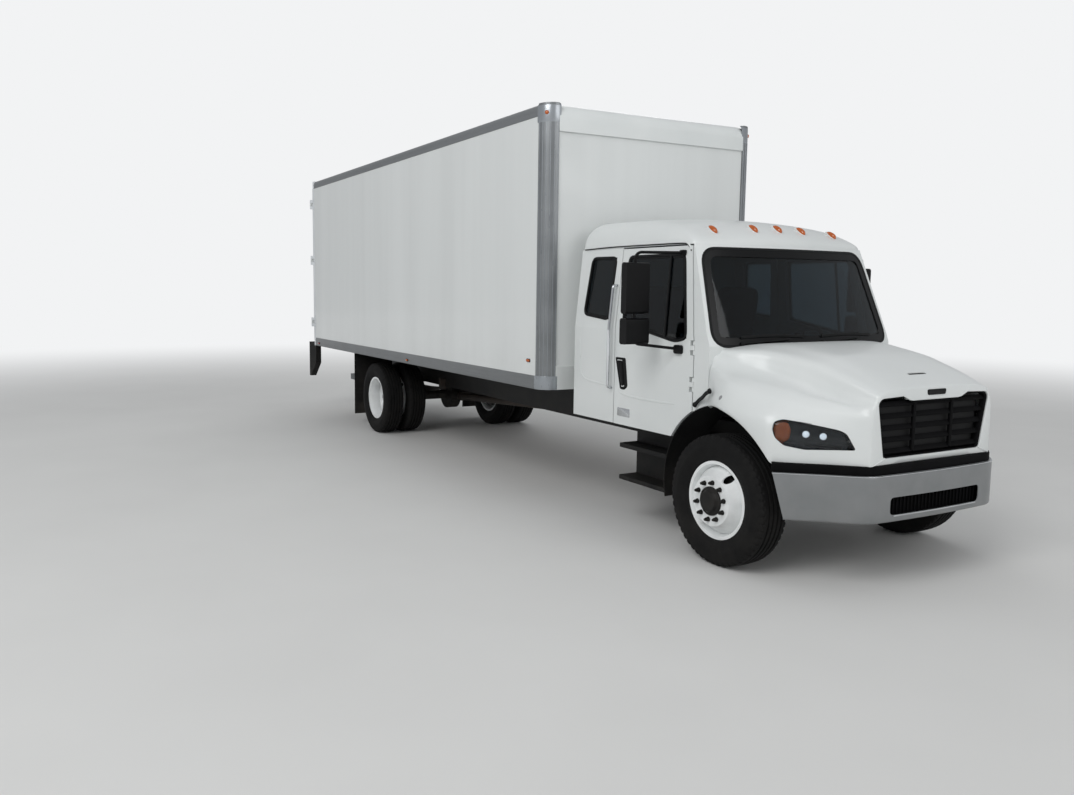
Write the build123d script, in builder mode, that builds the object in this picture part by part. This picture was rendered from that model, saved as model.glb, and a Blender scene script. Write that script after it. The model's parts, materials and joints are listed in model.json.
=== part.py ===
"""Box truck: a conventional cab with an extended rear quarter, a 24 ft van body and a tuck-under lift gate.

Millimetres. +X points forward, +Y to the left, +Z up. The origin is on the ground, under the middle of the
whole vehicle's length and width. Pieces that mirror each other across the middle plane are made once and
mirrored.
"""
import os
from math import ceil, cos, radians, sin, sqrt

from build123d import *

os.makedirs("parts", exist_ok=True)

# Driving dimensions of the whole vehicle
wheelbase = 6940
front_overhang = 1030            # front axle to the bumper's face
axle_to_body = 2223              # front axle back to the van body's front face
body_length = 7315               # 24 ft
body_width = 2591                # 102 in
dock_depth = 300                 # the dock bumpers stand this far behind the body
tyre_radius = 500
running_gap = 6                  # between pieces that move past each other
seat_gap = 0.3                   # between curved faces that seat on each other

overall_length = front_overhang + axle_to_body + body_length + dock_depth
front_axle_x = overall_length / 2 - front_overhang
rear_axle_x = front_axle_x - wheelbase
axle_z = tyre_radius

# Wheels: 22.5 in rims with a 285.75 mm bolt circle
tyre_width = 275
tyre_tread_half = 98
tyre_shoulder_radius = 468
tyre_waist_radius = 395
tyre_sides = 60
tyre_bead_radius = 290
rim_flange_radius = 298.5
rim_width = 210
rim_wall = 10
bolt_circle_radius = 285.75 / 2
hub_bore_radius = 110
hand_hole_radius = 30
front_track_half = 1022          # middle of the front rims
front_disc_offset = 145          # outboard of the rim's middle
rear_mount_half = 916            # plane where the twin rear discs meet
rear_disc_offset = 171
spindle_radius = 38
bearing_clearance = 0.08
kingpin_half = 858
kingpin_radius = 22
steering_arm = 200

# Chassis frame
rail_half = 432                  # outer face of the frame rails
rail_height = 266
rail_flange = 76
rail_thickness = 8
rail_bottom_z = 704
rail_front_x = front_axle_x + 850
rail_top_z = rail_bottom_z + rail_height

# Van body
body_half = body_width / 2
body_front_x = front_axle_x - axle_to_body
body_rear_x = body_front_x - body_length
sill_top_z = 1103
body_top_z = 3809
body_wall = 20
lower_rail_height = 132
upper_rail_height = 119
side_rail_depth = 34
corner_radius = 144
body_floor_z = sill_top_z + lower_rail_height
floor_thickness = 45
rear_frame_depth = 70
rear_post_width = 80
rear_header_height = 170
rear_door_thickness = 40
hinge_pin_out = 26               # rear door pins outboard of the body side
hinge_pin_back = 32              # and behind the rear frame's face
hinge_pin_radius = 7
hinge_barrel_radius = 13

# Cab
cab_half = 1030
cab_rear_x = front_axle_x - 2086
cab_bottom_z = 884
cab_wall = 55
belt_z = 1643
tumble_z = 1720                  # the sides lean in above this height
cab_top_half = 955
roof_seam_z = 2440
roof_edge_half = 800
roof_edge_z = 2672
roof_top_z = 2728
screen_corner_x = front_axle_x - 235
screen_bow = 95                  # the screen's middle stands this far ahead of its corners
screen_rake = (-284, 743)        # run and rise of the windscreen
door_rear_x = front_axle_x - 1440
door_front_x = front_axle_x - 412
door_front_top_x = front_axle_x - 546
door_seam = 12
glass_thickness = 6

# Hood and wheel arches
hood_rear_x = front_axle_x - 225
hood_bottom_z = 866
hood_wall = 14
hood_hinge_x = front_axle_x + 986
hood_hinge_z = 860
hood_hinge_half = 300
hood_hinge_eye = 22
hood_pin_radius = 9
arch_centre_x = front_axle_x - 66
arch_centre_z = 522
arch_radius = 684
grille_half_top = 599
grille_half_bottom = 531
grille_top_z = 1328
grille_bottom_z = 934

# Bumper
bumper_top_z = 826
bumper_bottom_z = 492
bumper_face_x = front_axle_x + front_overhang
bumper_corner_half = 660
bumper_end_half = 1160
bumper_end_x = front_axle_x + 575
bumper_wall = 6


def rail_profile(width, height, thickness, outer_y, bottom_z):
    """Closed outline in the YZ plane of a channel whose web is at outer_y and whose flanges point inboard."""
    inner_y = outer_y - width
    return [
        (outer_y, bottom_z),
        (outer_y, bottom_z + height),
        (inner_y, bottom_z + height),
        (inner_y, bottom_z + height - thickness),
        (outer_y - thickness, bottom_z + height - thickness),
        (outer_y - thickness, bottom_z + thickness),
        (inner_y, bottom_z + thickness),
        (inner_y, bottom_z),
    ]


def save(name, part):
    """Labels a finished piece and writes its STEP file."""
    part.label = name
    export_step(part, f"parts/{name}.step")


# Ladder frame: two channel rails with their flanges inboard
with BuildPart() as frame_rails:
    with BuildSketch(Plane.YZ.offset(rail_front_x)):
        with BuildLine():
            Polyline(rail_profile(rail_flange, rail_height, rail_thickness, rail_half, rail_bottom_z), close=True)
        make_face()
    extrude(amount=-(rail_front_x - body_rear_x - rear_frame_depth))
    mirror(about=Plane.XZ)

# Crossmembers: channels that reach between the two webs
crossmember_width = 60
crossmember_height = rail_height - 2 * rail_thickness - 70
tow_plate_width = 85.7           # four-bolt pattern for a tow plate on the rear crossmember
tow_plate_height = 44.4
tow_plate_hole_radius = 7
crossmember_web_half = rail_half - rail_thickness - seat_gap
crossmember_x = (
    rail_front_x - 60,
    front_axle_x - 1150,
    front_axle_x - 2300,
    front_axle_x - 3700,
    front_axle_x - 5100,
    rear_axle_x + 620,
    rear_axle_x - 620,
    rear_axle_x - 1500,
    body_rear_x + rear_frame_depth + 40,
)
with BuildPart() as frame_crossmembers:
    for x in crossmember_x:
        with BuildSketch(Plane.XZ.offset(-crossmember_web_half)):
            with BuildLine():
                Polyline(
                    (x - crossmember_width / 2, rail_bottom_z + rail_thickness + 35),
                    (x + crossmember_width / 2, rail_bottom_z + rail_thickness + 35),
                    (x + crossmember_width / 2, rail_bottom_z + rail_thickness + 43),
                    (x - crossmember_width / 2 + 8, rail_bottom_z + rail_thickness + 43),
                    (x - crossmember_width / 2 + 8, rail_top_z - rail_thickness - 43),
                    (x + crossmember_width / 2, rail_top_z - rail_thickness - 43),
                    (x + crossmember_width / 2, rail_top_z - rail_thickness - 35),
                    (x - crossmember_width / 2, rail_top_z - rail_thickness - 35),
                    close=True,
                )
            make_face()
        extrude(amount=2 * crossmember_web_half)
    with BuildSketch(Plane.YZ.offset(crossmember_x[-1] - crossmember_width / 2 - 1)):
        with Locations((0, rail_bottom_z + rail_height / 2)):
            with GridLocations(tow_plate_width, tow_plate_height, 2, 2):
                Circle(tow_plate_hole_radius)
    extrude(amount=10, mode=Mode.SUBTRACT)
with BuildPart() as ladder_frame:
    add(frame_rails.part)
    add(frame_crossmembers.part)
save("ladder_frame", ladder_frame.part)

# Engine and gearbox as one plain block that rests on the rails' top flanges by four mounts
engine_front_x = front_axle_x + 700
engine_rear_x = front_axle_x - 120
gearbox_rear_x = front_axle_x - 1050
engine_half = 330
gearbox_half = 190
engine_mount_x = (front_axle_x + 480, front_axle_x - 40)
with BuildPart() as engine_block:
    with BuildSketch(Plane.XZ.offset(-engine_half)):
        with BuildLine():
            Polyline(
                (engine_rear_x, 640),
                (engine_front_x - 300, 640),
                (engine_front_x - 200, 740),
                (engine_front_x, 740),
                (engine_front_x, 1330),
                (engine_rear_x + 120, 1360),
                (engine_rear_x, 1300),
                close=True,
            )
        make_face()
    extrude(amount=2 * engine_half)
    with BuildSketch(Plane.XZ.offset(-gearbox_half)):
        with BuildLine():
            Polyline(
                (engine_rear_x, 600),
                (engine_rear_x, 1000),
                (gearbox_rear_x, 820),
                (gearbox_rear_x, 600),
                close=True,
            )
        make_face()
    extrude(amount=2 * gearbox_half)
    with BuildSketch(Plane.XY.offset(rail_top_z)):
        for x in engine_mount_x:
            with Locations((x, 0)):
                Rectangle(120, 2 * (rail_half - 10))
    extrude(amount=24)
save("engine_block", engine_block.part)

# Front axle: a dropped beam with a kingpin eye at each end and a pad under each spring
beam_top_z = axle_z - 4
beam_height = 86
beam_width = 80
eye_radius = 44
eye_half_height = 58
spring_half = rail_half - rail_flange / 2
spring_width = 76
with BuildPart() as front_axle_beam:
    with BuildSketch(Plane.YZ.offset(front_axle_x - beam_width / 2)):
        with BuildLine():
            Polyline(
                (-kingpin_half, axle_z + 40),
                (-kingpin_half + 110, axle_z + 30),
                (-spring_half - 90, beam_top_z),
                (spring_half + 90, beam_top_z),
                (kingpin_half - 110, axle_z + 30),
                (kingpin_half, axle_z + 40),
                (kingpin_half, axle_z - 40),
                (kingpin_half - 110, axle_z - 50),
                (spring_half + 90, beam_top_z - beam_height),
                (-spring_half - 90, beam_top_z - beam_height),
                (-kingpin_half + 110, axle_z - 50),
                (-kingpin_half, axle_z - 40),
                close=True,
            )
        make_face()
    extrude(amount=beam_width)
    with BuildSketch(Plane.XY.offset(axle_z - eye_half_height)):
        with Locations((front_axle_x, kingpin_half), (front_axle_x, -kingpin_half)):
            Circle(eye_radius)
    extrude(amount=2 * eye_half_height)
    with BuildSketch(Plane.XY.offset(axle_z - eye_half_height)):
        with Locations((front_axle_x, kingpin_half), (front_axle_x, -kingpin_half)):
            Circle(kingpin_radius + bearing_clearance)
    extrude(amount=2 * eye_half_height, mode=Mode.SUBTRACT)
save("front_axle_beam", front_axle_beam.part)

# Leaf springs: a bowed pack under each rail at each axle, with hangers up to the rail
rear_spring_half = rail_half + spring_width / 2
rear_axle_tube_radius = 66
spring_table = (
    # axle x, half track, half length, pack thickness, seat height, hanger's rise beside the rail
    (front_axle_x, spring_half, 640, 42, beam_top_z, 0),
    (rear_axle_x, rear_spring_half, 700, 80, axle_z + rear_axle_tube_radius + 10, 110),
)
with BuildPart() as leaf_springs:
    for axle_x, half_track, half_length, pack, seat_z, hanger_rise in spring_table:
        with BuildSketch(Plane.XZ.offset(-half_track - spring_width / 2)):
            with BuildLine():
                upper = ThreePointArc(
                    (axle_x - half_length, rail_bottom_z - 6),
                    (axle_x, seat_z + pack),
                    (axle_x + half_length, rail_bottom_z - 6),
                )
                Line(upper @ 1, (axle_x + half_length, rail_bottom_z - 26))
                lower = ThreePointArc(
                    (axle_x + half_length, rail_bottom_z - 26),
                    (axle_x, seat_z),
                    (axle_x - half_length, rail_bottom_z - 26),
                )
                Line(lower @ 1, upper @ 0)
            make_face()
        extrude(amount=spring_width)
        with BuildSketch(Plane.XY.offset(rail_bottom_z - 40)):
            for end in (-1, 1):
                with Locations((axle_x + end * half_length, half_track)):
                    Rectangle(60, spring_width)
        extrude(amount=40 + hanger_rise)
    mirror(about=Plane.XZ)
save("leaf_springs", leaf_springs.part)

# Rear axle: a banjo housing with a spindle through each pair of wheels and a pad under each spring
rear_spindle_inner_half = 600
rear_spindle_end_half = rear_mount_half + 60
diff_radius = 205
with BuildPart() as rear_axle_housing:
    with BuildSketch(Plane.XZ.offset(-rear_spindle_inner_half)):
        with Locations((rear_axle_x, axle_z)):
            Circle(rear_axle_tube_radius)
    extrude(amount=2 * rear_spindle_inner_half)
    with BuildSketch(Plane.XZ.offset(-rear_spindle_end_half)):
        with Locations((rear_axle_x, axle_z)):
            Circle(spindle_radius)
    extrude(amount=2 * rear_spindle_end_half)
    with BuildSketch(Plane.XZ.offset(-75)):
        with Locations((rear_axle_x, axle_z)):
            Circle(diff_radius)
    extrude(amount=150)
    with BuildSketch(Plane.YZ.offset(rear_axle_x)):
        with Locations((0, axle_z)):
            Circle(110)
    extrude(amount=340, taper=8)
    with BuildSketch(Plane.XY.offset(axle_z)):
        for side in (-1, 1):
            with Locations((rear_axle_x, side * rear_spring_half)):
                Rectangle(150, spring_width)
    extrude(amount=rear_axle_tube_radius + 10)
save("rear_axle_housing", rear_axle_housing.part)

# Drive shaft: two tubes with a centre bearing hung from a crossmember
shaft_radius = 50
shaft_break_x = front_axle_x - 3700
shaft_z = 680
pinion_x = rear_axle_x + 340
with BuildPart() as drive_shaft:
    with BuildSketch(Plane.YZ.offset(shaft_break_x - 40)):
        with Locations((0, shaft_z)):
            Circle(shaft_radius)
    extrude(amount=gearbox_rear_x - shaft_break_x + 40)
    with BuildSketch(Plane.YZ.offset(pinion_x)):
        with Locations((0, axle_z)):
            Circle(shaft_radius + 12)
    extrude(amount=70)
    shaft_start_x = pinion_x + 35
    shaft_run = shaft_break_x - shaft_start_x
    shaft_drop = shaft_z - axle_z
    with BuildSketch(Plane(origin=(shaft_start_x, 0, axle_z), x_dir=(0, 1, 0), z_dir=(shaft_run, 0, shaft_drop))):
        Circle(shaft_radius)
    extrude(amount=sqrt(shaft_run**2 + shaft_drop**2))
    with BuildSketch(Plane.XY.offset(shaft_z)):
        with Locations((shaft_break_x, 0)):
            Rectangle(50, 130)
    extrude(amount=rail_bottom_z + rail_thickness + 35 - shaft_z)
save("drive_shaft", drive_shaft.part)

# Fuel tank on the left rail, with two straps that hang it from the rail
tank_front_x = front_axle_x - 1250
tank_length = 1000
tank_width = 560
tank_height = 500
tank_top_z = 870
tank_inner_half = rail_half + 30
with BuildPart() as fuel_tank:
    with BuildSketch(Plane.YZ.offset(tank_front_x - tank_length)):
        with Locations((tank_inner_half + tank_width / 2, tank_top_z - tank_height / 2)):
            RectangleRounded(tank_width, tank_height, 110)
    extrude(amount=tank_length)
    with BuildSketch(Plane.YZ.offset(tank_front_x - tank_length + 150)):
        with Locations((rail_half + 40, tank_top_z - 60)):
            Rectangle(80, 110)
    extrude(amount=tank_length - 300)
save("fuel_tank", fuel_tank.part)

# Steps under the doors, carried by the rails; the right ones are in front of the battery box
step_front_x = front_axle_x - 760
step_length = 640
step_outer_half = 985
box_inner_half = rail_half
with BuildPart() as battery_box:
    with BuildSketch(Plane.XZ.offset(box_inner_half)):
        with BuildLine():
            Polyline(
                (step_front_x, 372),
                (step_front_x, 850),
                (step_front_x - step_length, 850),
                (step_front_x - step_length, 372),
                close=True,
            )
        make_face()
    extrude(amount=360)
    with BuildSketch(Plane.XZ.offset(box_inner_half + 360)):
        with Locations((step_front_x - step_length / 2, 400), (step_front_x - step_length / 2, 690)):
            Rectangle(step_length, 40)
    extrude(amount=step_outer_half - box_inner_half - 360)
with BuildPart() as cab_steps:
    add(battery_box.part)
    with BuildSketch(Plane.XZ.offset(-step_outer_half)):
        with Locations((front_axle_x - 980, 400), (front_axle_x - 980, 690)):
            Rectangle(420, 40)
        with Locations((front_axle_x - 1150, 545)):
            Rectangle(30, 330)
    extrude(amount=step_outer_half - rail_half)
save("cab_steps", cab_steps.part)

# Front bumper: a channel swept round its three facets, with a slot in the middle and a bracket to each rail
bumper_side_x = bumper_face_x - 30
bumper_depth = 45
bumper_middle_z = (bumper_top_z + bumper_bottom_z) / 2
bumper_slot_z = 590
bumper_slot_width = 920
bumper_slot_height = 130
bumper_end_slant = 85
with BuildPart() as front_bumper:
    with BuildLine() as bumper_path:
        Polyline(
            (bumper_end_x, -bumper_end_half, bumper_middle_z),
            (bumper_side_x, -bumper_corner_half, bumper_middle_z),
            (bumper_face_x, 0, bumper_middle_z),
            (bumper_side_x, bumper_corner_half, bumper_middle_z),
            (bumper_end_x, bumper_end_half, bumper_middle_z),
        )
    half_height = (bumper_top_z - bumper_bottom_z) / 2
    with BuildSketch(Plane(origin=bumper_path.line @ 0, x_dir=(0, 0, 1), z_dir=bumper_path.line % 0)):
        with BuildLine():
            Polyline(
                (-half_height, 0),
                (half_height, 0),
                (half_height, -bumper_depth),
                (half_height - bumper_wall, -bumper_depth),
                (half_height - bumper_wall, -bumper_wall),
                (-half_height + bumper_wall, -bumper_wall),
                (-half_height + bumper_wall, -bumper_depth),
                (-half_height, -bumper_depth),
                close=True,
            )
        make_face()
    sweep(path=bumper_path.line, transition=Transition.RIGHT)
    with BuildSketch(Plane.YZ.offset(bumper_face_x - 60)):
        with Locations((0, bumper_slot_z)):
            SlotOverall(bumper_slot_width, bumper_slot_height)
    extrude(amount=100, mode=Mode.SUBTRACT)
    with BuildSketch(Plane.XZ.offset(-bumper_end_half - bumper_depth)):
        with BuildLine():
            Polyline(
                (bumper_end_x - bumper_depth, bumper_bottom_z - 10),
                (bumper_end_x + bumper_end_slant, bumper_bottom_z - 10),
                (bumper_end_x, bumper_top_z - bumper_wall),
                (bumper_end_x - bumper_depth, bumper_top_z - bumper_wall),
                close=True,
            )
        make_face()
    extrude(amount=2 * (bumper_end_half + bumper_depth), mode=Mode.SUBTRACT)
    with BuildSketch(Plane.YZ.offset(rail_front_x)):
        for side in (-1, 1):
            with Locations((side * (rail_half - 30), bumper_top_z - 60)):
                Rectangle(60, 90)
    extrude(until=Until.NEXT)
    for side in (-1, 1):
        for low in (side * hood_hinge_half + 22, side * hood_hinge_half - 36):
            with BuildSketch(Plane.XZ.offset(-low)):
                with BuildLine():
                    Polyline(
                        (hood_hinge_x - 12, bumper_top_z - 2),
                        (hood_hinge_x - 14, hood_hinge_z),
                        (hood_hinge_x + 14, hood_hinge_z),
                        (hood_hinge_x + 18, bumper_top_z - 2),
                        close=True,
                    )
                make_face()
                with Locations((hood_hinge_x, hood_hinge_z)):
                    Circle(14)
            extrude(amount=-14)
        with BuildSketch(Plane.XZ.offset(-side * hood_hinge_half + 30)):
            with Locations((hood_hinge_x, hood_hinge_z)):
                Circle(hood_pin_radius)
        extrude(amount=-60)
save("front_bumper", front_bumper.part)

# Van body's under-frame: two long sills on the rails, with cross sills seated over them
cross_sill_height = body_floor_z - floor_thickness - sill_top_z
cross_sill_width = 60
cross_sill_pitch = 406
cross_sill_count = int((body_length - 2 * rear_frame_depth) / cross_sill_pitch) + 1
floor_half = body_half - side_rail_depth
floor_front_x = body_front_x - side_rail_depth
floor_rear_x = body_rear_x + rear_frame_depth
floor_mid_x = (floor_front_x + floor_rear_x) / 2
with BuildPart() as body_subframe:
    with BuildSketch(Plane.YZ.offset(floor_rear_x)):
        for side in (-1, 1):
            with Locations((side * (rail_half - rail_flange / 2), (rail_top_z + sill_top_z - seat_gap) / 2)):
                Rectangle(rail_flange, sill_top_z - seat_gap - rail_top_z)
    extrude(amount=floor_front_x - floor_rear_x)
    with BuildSketch(Plane.XY.offset(sill_top_z)):
        with GridLocations(cross_sill_pitch, 1, cross_sill_count, 1):
            with Locations((floor_mid_x, 0)):
                Rectangle(cross_sill_width, 2 * floor_half)
    extrude(amount=cross_sill_height)
save("body_subframe", body_subframe.part)

# Load floor between the lower side rails
with BuildPart() as body_floor:
    with BuildSketch(Plane.XY.offset(body_floor_z - floor_thickness)):
        with BuildLine():
            Polyline(
                (floor_rear_x, -floor_half),
                (body_front_x - corner_radius, -floor_half),
                (floor_front_x, -floor_half + corner_radius),
                (floor_front_x, floor_half - corner_radius),
                (body_front_x - corner_radius, floor_half),
                (floor_rear_x, floor_half),
                close=True,
            )
        make_face()
    extrude(amount=floor_thickness)
save("body_floor", body_floor.part)

# Side rails: a lower one that holds the floor's edge and an upper one with a rounded shoulder
rail_run_front_x = body_front_x - corner_radius
rail_run_rear_x = body_rear_x + rear_frame_depth
wall_inner_half = body_half - side_rail_depth
with BuildPart() as body_rails:
    with BuildSketch(Plane.YZ.offset(rail_run_rear_x)):
        with BuildLine():
            Polyline(
                (body_half, sill_top_z),
                (body_half, body_floor_z),
                (body_half - side_rail_depth, body_floor_z),
                (body_half - side_rail_depth, sill_top_z),
                close=True,
            )
        make_face()
        with BuildLine():
            shoulder = upper_rail_height / 2
            side_edge = Line((body_half, body_top_z - upper_rail_height), (body_half, body_top_z - shoulder))
            round_edge = TangentArc(side_edge @ 1, (body_half - shoulder, body_top_z), tangent=(0, 1))
            Polyline(
                round_edge @ 1,
                (body_half - shoulder - 40, body_top_z),
                (body_half - shoulder - 40, body_top_z - 12),
                (body_half - side_rail_depth, body_top_z - upper_rail_height),
                side_edge @ 0,
            )
        make_face()
    extrude(amount=rail_run_front_x - seat_gap - rail_run_rear_x)
    mirror(about=Plane.XZ)

# Side walls between the rails, set in a little from their faces
with BuildPart() as body_side_walls:
    with BuildSketch(Plane.XZ.offset(-(body_half - 3))):
        with Locations(((rail_run_front_x + rail_run_rear_x) / 2,
                        (body_floor_z + body_top_z - upper_rail_height) / 2)):
            Rectangle(rail_run_front_x - rail_run_rear_x, body_top_z - upper_rail_height - body_floor_z)
    extrude(amount=body_wall)
    mirror(about=Plane.XZ)
save("body_side_walls", body_side_walls.part)

# Front corner posts: quarter rounds from the sill to the roof
with BuildPart() as body_corner_posts:
    with BuildSketch(Plane.XY.offset(sill_top_z)):
        with BuildLine():
            outer = ThreePointArc(
                (body_front_x - corner_radius, body_half),
                (body_front_x - corner_radius * (1 - sin(radians(45))),
                 body_half - corner_radius * (1 - sin(radians(45)))),
                (body_front_x, body_half - corner_radius),
            )
            Line(outer @ 1, (body_front_x - side_rail_depth, body_half - corner_radius))
            inner_reach = corner_radius - side_rail_depth
            inner = ThreePointArc(
                (body_front_x - side_rail_depth, body_half - corner_radius),
                (body_front_x - corner_radius + inner_reach * sin(radians(45)),
                 body_half - corner_radius + inner_reach * sin(radians(45))),
                (body_front_x - corner_radius, body_half - side_rail_depth),
            )
            Line(inner @ 1, outer @ 0)
        make_face()
    extrude(amount=body_top_z - sill_top_z)
    mirror(about=Plane.XZ)
with BuildPart() as body_rails_posts:
    add(body_rails.part)
    add(body_corner_posts.part)
save("body_rails_posts", body_rails_posts.part)

# Front wall between the corner posts, with a rail along its foot and a rounded nose cap over it
front_wall_half = body_half - corner_radius
front_rail_top_z = 1330
nose_cap_height = 264
nose_cap_bottom_z = body_top_z - nose_cap_height
with BuildPart() as body_front_wall:
    with BuildSketch(Plane.YZ.offset(body_front_x - side_rail_depth)):
        with Locations((0, (sill_top_z + body_top_z - corner_radius) / 2)):
            Rectangle(2 * front_wall_half, body_top_z - corner_radius - sill_top_z)
    extrude(amount=body_wall)
    with BuildSketch(Plane.YZ.offset(body_front_x - side_rail_depth)):
        with Locations((0, (sill_top_z + front_rail_top_z) / 2)):
            Rectangle(2 * front_wall_half, front_rail_top_z - sill_top_z)
    extrude(amount=side_rail_depth)
save("body_front_wall", body_front_wall.part)

with BuildPart() as body_nose_cap:
    with BuildSketch(Plane.XZ.offset(-front_wall_half)):
        with BuildLine():
            foot = Line(
                (body_front_x - side_rail_depth + body_wall, nose_cap_bottom_z),
                (body_front_x + 4, nose_cap_bottom_z),
            )
            face = Line(foot @ 1, (body_front_x + 4, body_top_z - corner_radius))
            crown = TangentArc(face @ 1, (body_front_x + 4 - corner_radius, body_top_z), tangent=(0, 1))
            Polyline(
                crown @ 1,
                (body_front_x - corner_radius - 60, body_top_z),
                (body_front_x - corner_radius - 60, body_top_z - 14),
                (body_front_x - corner_radius, body_top_z - 14),
                (body_front_x - side_rail_depth, body_top_z - corner_radius),
                (body_front_x - side_rail_depth + body_wall, body_top_z - corner_radius),
                foot @ 0,
            )
        make_face()
    extrude(amount=2 * front_wall_half)
save("body_nose_cap", body_nose_cap.part)

# Roof: a sheet between the upper rails, with hat-section bows under it
roof_sheet = 14
roof_half = body_half - upper_rail_height / 2 - 40
roof_front_x = body_front_x - corner_radius - 60
roof_bow_pitch = 600
roof_bow_height = 40
roof_bow_count = int((roof_front_x - rail_run_rear_x - 200) / roof_bow_pitch) + 1
with BuildPart() as body_roof:
    with BuildSketch(Plane.XY.offset(body_top_z - roof_sheet)):
        with Locations(((roof_front_x + rail_run_rear_x) / 2, 0)):
            Rectangle(roof_front_x - rail_run_rear_x, 2 * roof_half)
    extrude(amount=roof_sheet)
    with BuildSketch(Plane.XY.offset(body_top_z - roof_sheet)):
        with GridLocations(roof_bow_pitch, 1, roof_bow_count, 1):
            with Locations(((roof_front_x + rail_run_rear_x) / 2, 0)):
                Rectangle(50, 2 * roof_half)
    extrude(amount=-roof_bow_height)
save("body_roof", body_roof.part)

# Rear frame: a portal round the door opening
with BuildPart() as body_rear_frame:
    with BuildSketch(Plane.YZ.offset(body_rear_x)):
        with Locations((0, (sill_top_z + body_top_z) / 2)):
            Rectangle(body_width, body_top_z - sill_top_z)
        with Locations((0, (body_floor_z + body_top_z - rear_header_height) / 2)):
            Rectangle(body_width - 2 * rear_post_width, body_top_z - rear_header_height - body_floor_z,
                      mode=Mode.SUBTRACT)
    extrude(amount=rear_frame_depth)
    hinge_z = (body_floor_z + 260, (body_floor_z + body_top_z) / 2, body_top_z - rear_header_height - 200)
    hinge_x = body_rear_x - hinge_pin_back
    hinge_y = body_half + hinge_pin_out
    for z in hinge_z:
        for low in (z - 75, z + 27):
            with BuildSketch(Plane.XY.offset(low)):
                for side in (-1, 1):
                    with BuildLine():
                        Polyline(
                            (body_rear_x + 60, side * body_half),
                            (body_rear_x + 60, side * (body_half + 5)),
                            (body_rear_x, side * (body_half + 5)),
                            (hinge_x + 6, side * (hinge_y + 9)),
                            (hinge_x - 4, side * (hinge_y - 11)),
                            (body_rear_x, side * body_half),
                            close=True,
                        )
                    make_face()
                    with Locations((hinge_x, side * hinge_y)):
                        Circle(hinge_barrel_radius)
            extrude(amount=48)
    for z in hinge_z:
        with BuildSketch(Plane.XY.offset(z - 75)):
            for side in (-1, 1):
                with Locations((hinge_x, side * hinge_y)):
                    Circle(hinge_pin_radius)
        extrude(amount=150)
save("body_rear_frame", body_rear_frame.part)

# Rear doors: two leaves behind the frame's face, each with straps out to its hinge pins
door_leaf_front_x = body_rear_x - running_gap
door_leaf_bottom_z = body_floor_z - 40
door_leaf_top_z = body_top_z - rear_header_height + 60
with BuildPart() as rear_door_left:
    with BuildSketch(Plane.XY.offset(door_leaf_bottom_z)):
        with BuildLine():
            Polyline(
                (door_leaf_front_x, running_gap / 2 + 2),
                (door_leaf_front_x, body_half - 8),
                (door_leaf_front_x - rear_door_thickness, body_half - 8),
                (door_leaf_front_x - rear_door_thickness, running_gap / 2 + 2),
                close=True,
            )
        make_face()
    extrude(amount=door_leaf_top_z - door_leaf_bottom_z)
    for z in hinge_z:
        with BuildSketch(Plane.XY.offset(z - 25)):
            with BuildLine():
                Polyline(
                    (door_leaf_front_x - rear_door_thickness, body_half - 200),
                    (door_leaf_front_x - rear_door_thickness - 6, body_half - 200),
                    (door_leaf_front_x - rear_door_thickness - 6, body_half - 8),
                    (hinge_x - 8, hinge_y + 8),
                    (hinge_x + 8, hinge_y - 8),
                    (door_leaf_front_x - rear_door_thickness + 20, body_half - 9),
                    (door_leaf_front_x - rear_door_thickness, body_half - 20),
                    close=True,
                )
            make_face()
            with Locations((hinge_x, hinge_y)):
                Circle(hinge_barrel_radius)
                Circle(hinge_pin_radius + seat_gap, mode=Mode.SUBTRACT)
        extrude(amount=50)
save("rear_door_left", rear_door_left.part)
with BuildPart() as rear_door_right:
    mirror(rear_door_left.part, about=Plane.XZ)
save("rear_door_right", rear_door_right.part)

# Dock bumpers: an upright behind each rear corner, braced up to the body's sill
dock_top_z = 1150
dock_bottom_z = 570
dock_width = 90
with BuildPart() as dock_bumpers:
    with BuildSketch(Plane.XZ.offset(-body_half)):
        with BuildLine():
            Polyline(
                (body_rear_x - dock_depth, dock_bottom_z),
                (body_rear_x - dock_depth, dock_top_z),
                (body_rear_x - dock_depth + 60, dock_top_z),
                (body_rear_x - 60, sill_top_z + 6),
                (body_rear_x, sill_top_z + 6),
                (body_rear_x, sill_top_z),
                (body_rear_x + rear_frame_depth, sill_top_z),
                (body_rear_x + rear_frame_depth, dock_bottom_z + 240),
                (body_rear_x - dock_depth + 80, dock_bottom_z),
                close=True,
            )
        make_face()
    extrude(amount=dock_width)
    mirror(about=Plane.XZ)
save("dock_bumpers", dock_bumpers.part)

# Lift gate stowed under the body's tail: a folded platform on two arms from the frame rails
platform_front_x = rear_axle_x - tyre_radius - 470
platform_rear_x = body_rear_x + 678
platform_half = 900
with BuildPart() as liftgate:
    with BuildSketch(Plane.XZ.offset(-platform_half)):
        with BuildLine():
            Polyline(
                (platform_rear_x, 580),
                (platform_front_x - 60, 580),
                (platform_front_x, 610),
                (platform_front_x, 640),
                (platform_front_x - 60, 670),
                (platform_rear_x, 670),
                close=True,
            )
        make_face()
    extrude(amount=2 * platform_half)
    for start_y in (-rail_half - 50, rail_half):
        with BuildSketch(Plane.XZ.offset(start_y)):
            with BuildLine():
                Polyline(
                    (platform_rear_x, 600),
                    (platform_rear_x, 670),
                    (body_rear_x + 480, 860),
                    (body_rear_x + 560, 860),
                    (body_rear_x + 560, 800),
                    (platform_rear_x + 200, 600),
                    close=True,
                )
            make_face()
        extrude(amount=50)
save("liftgate", liftgate.part)

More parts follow.
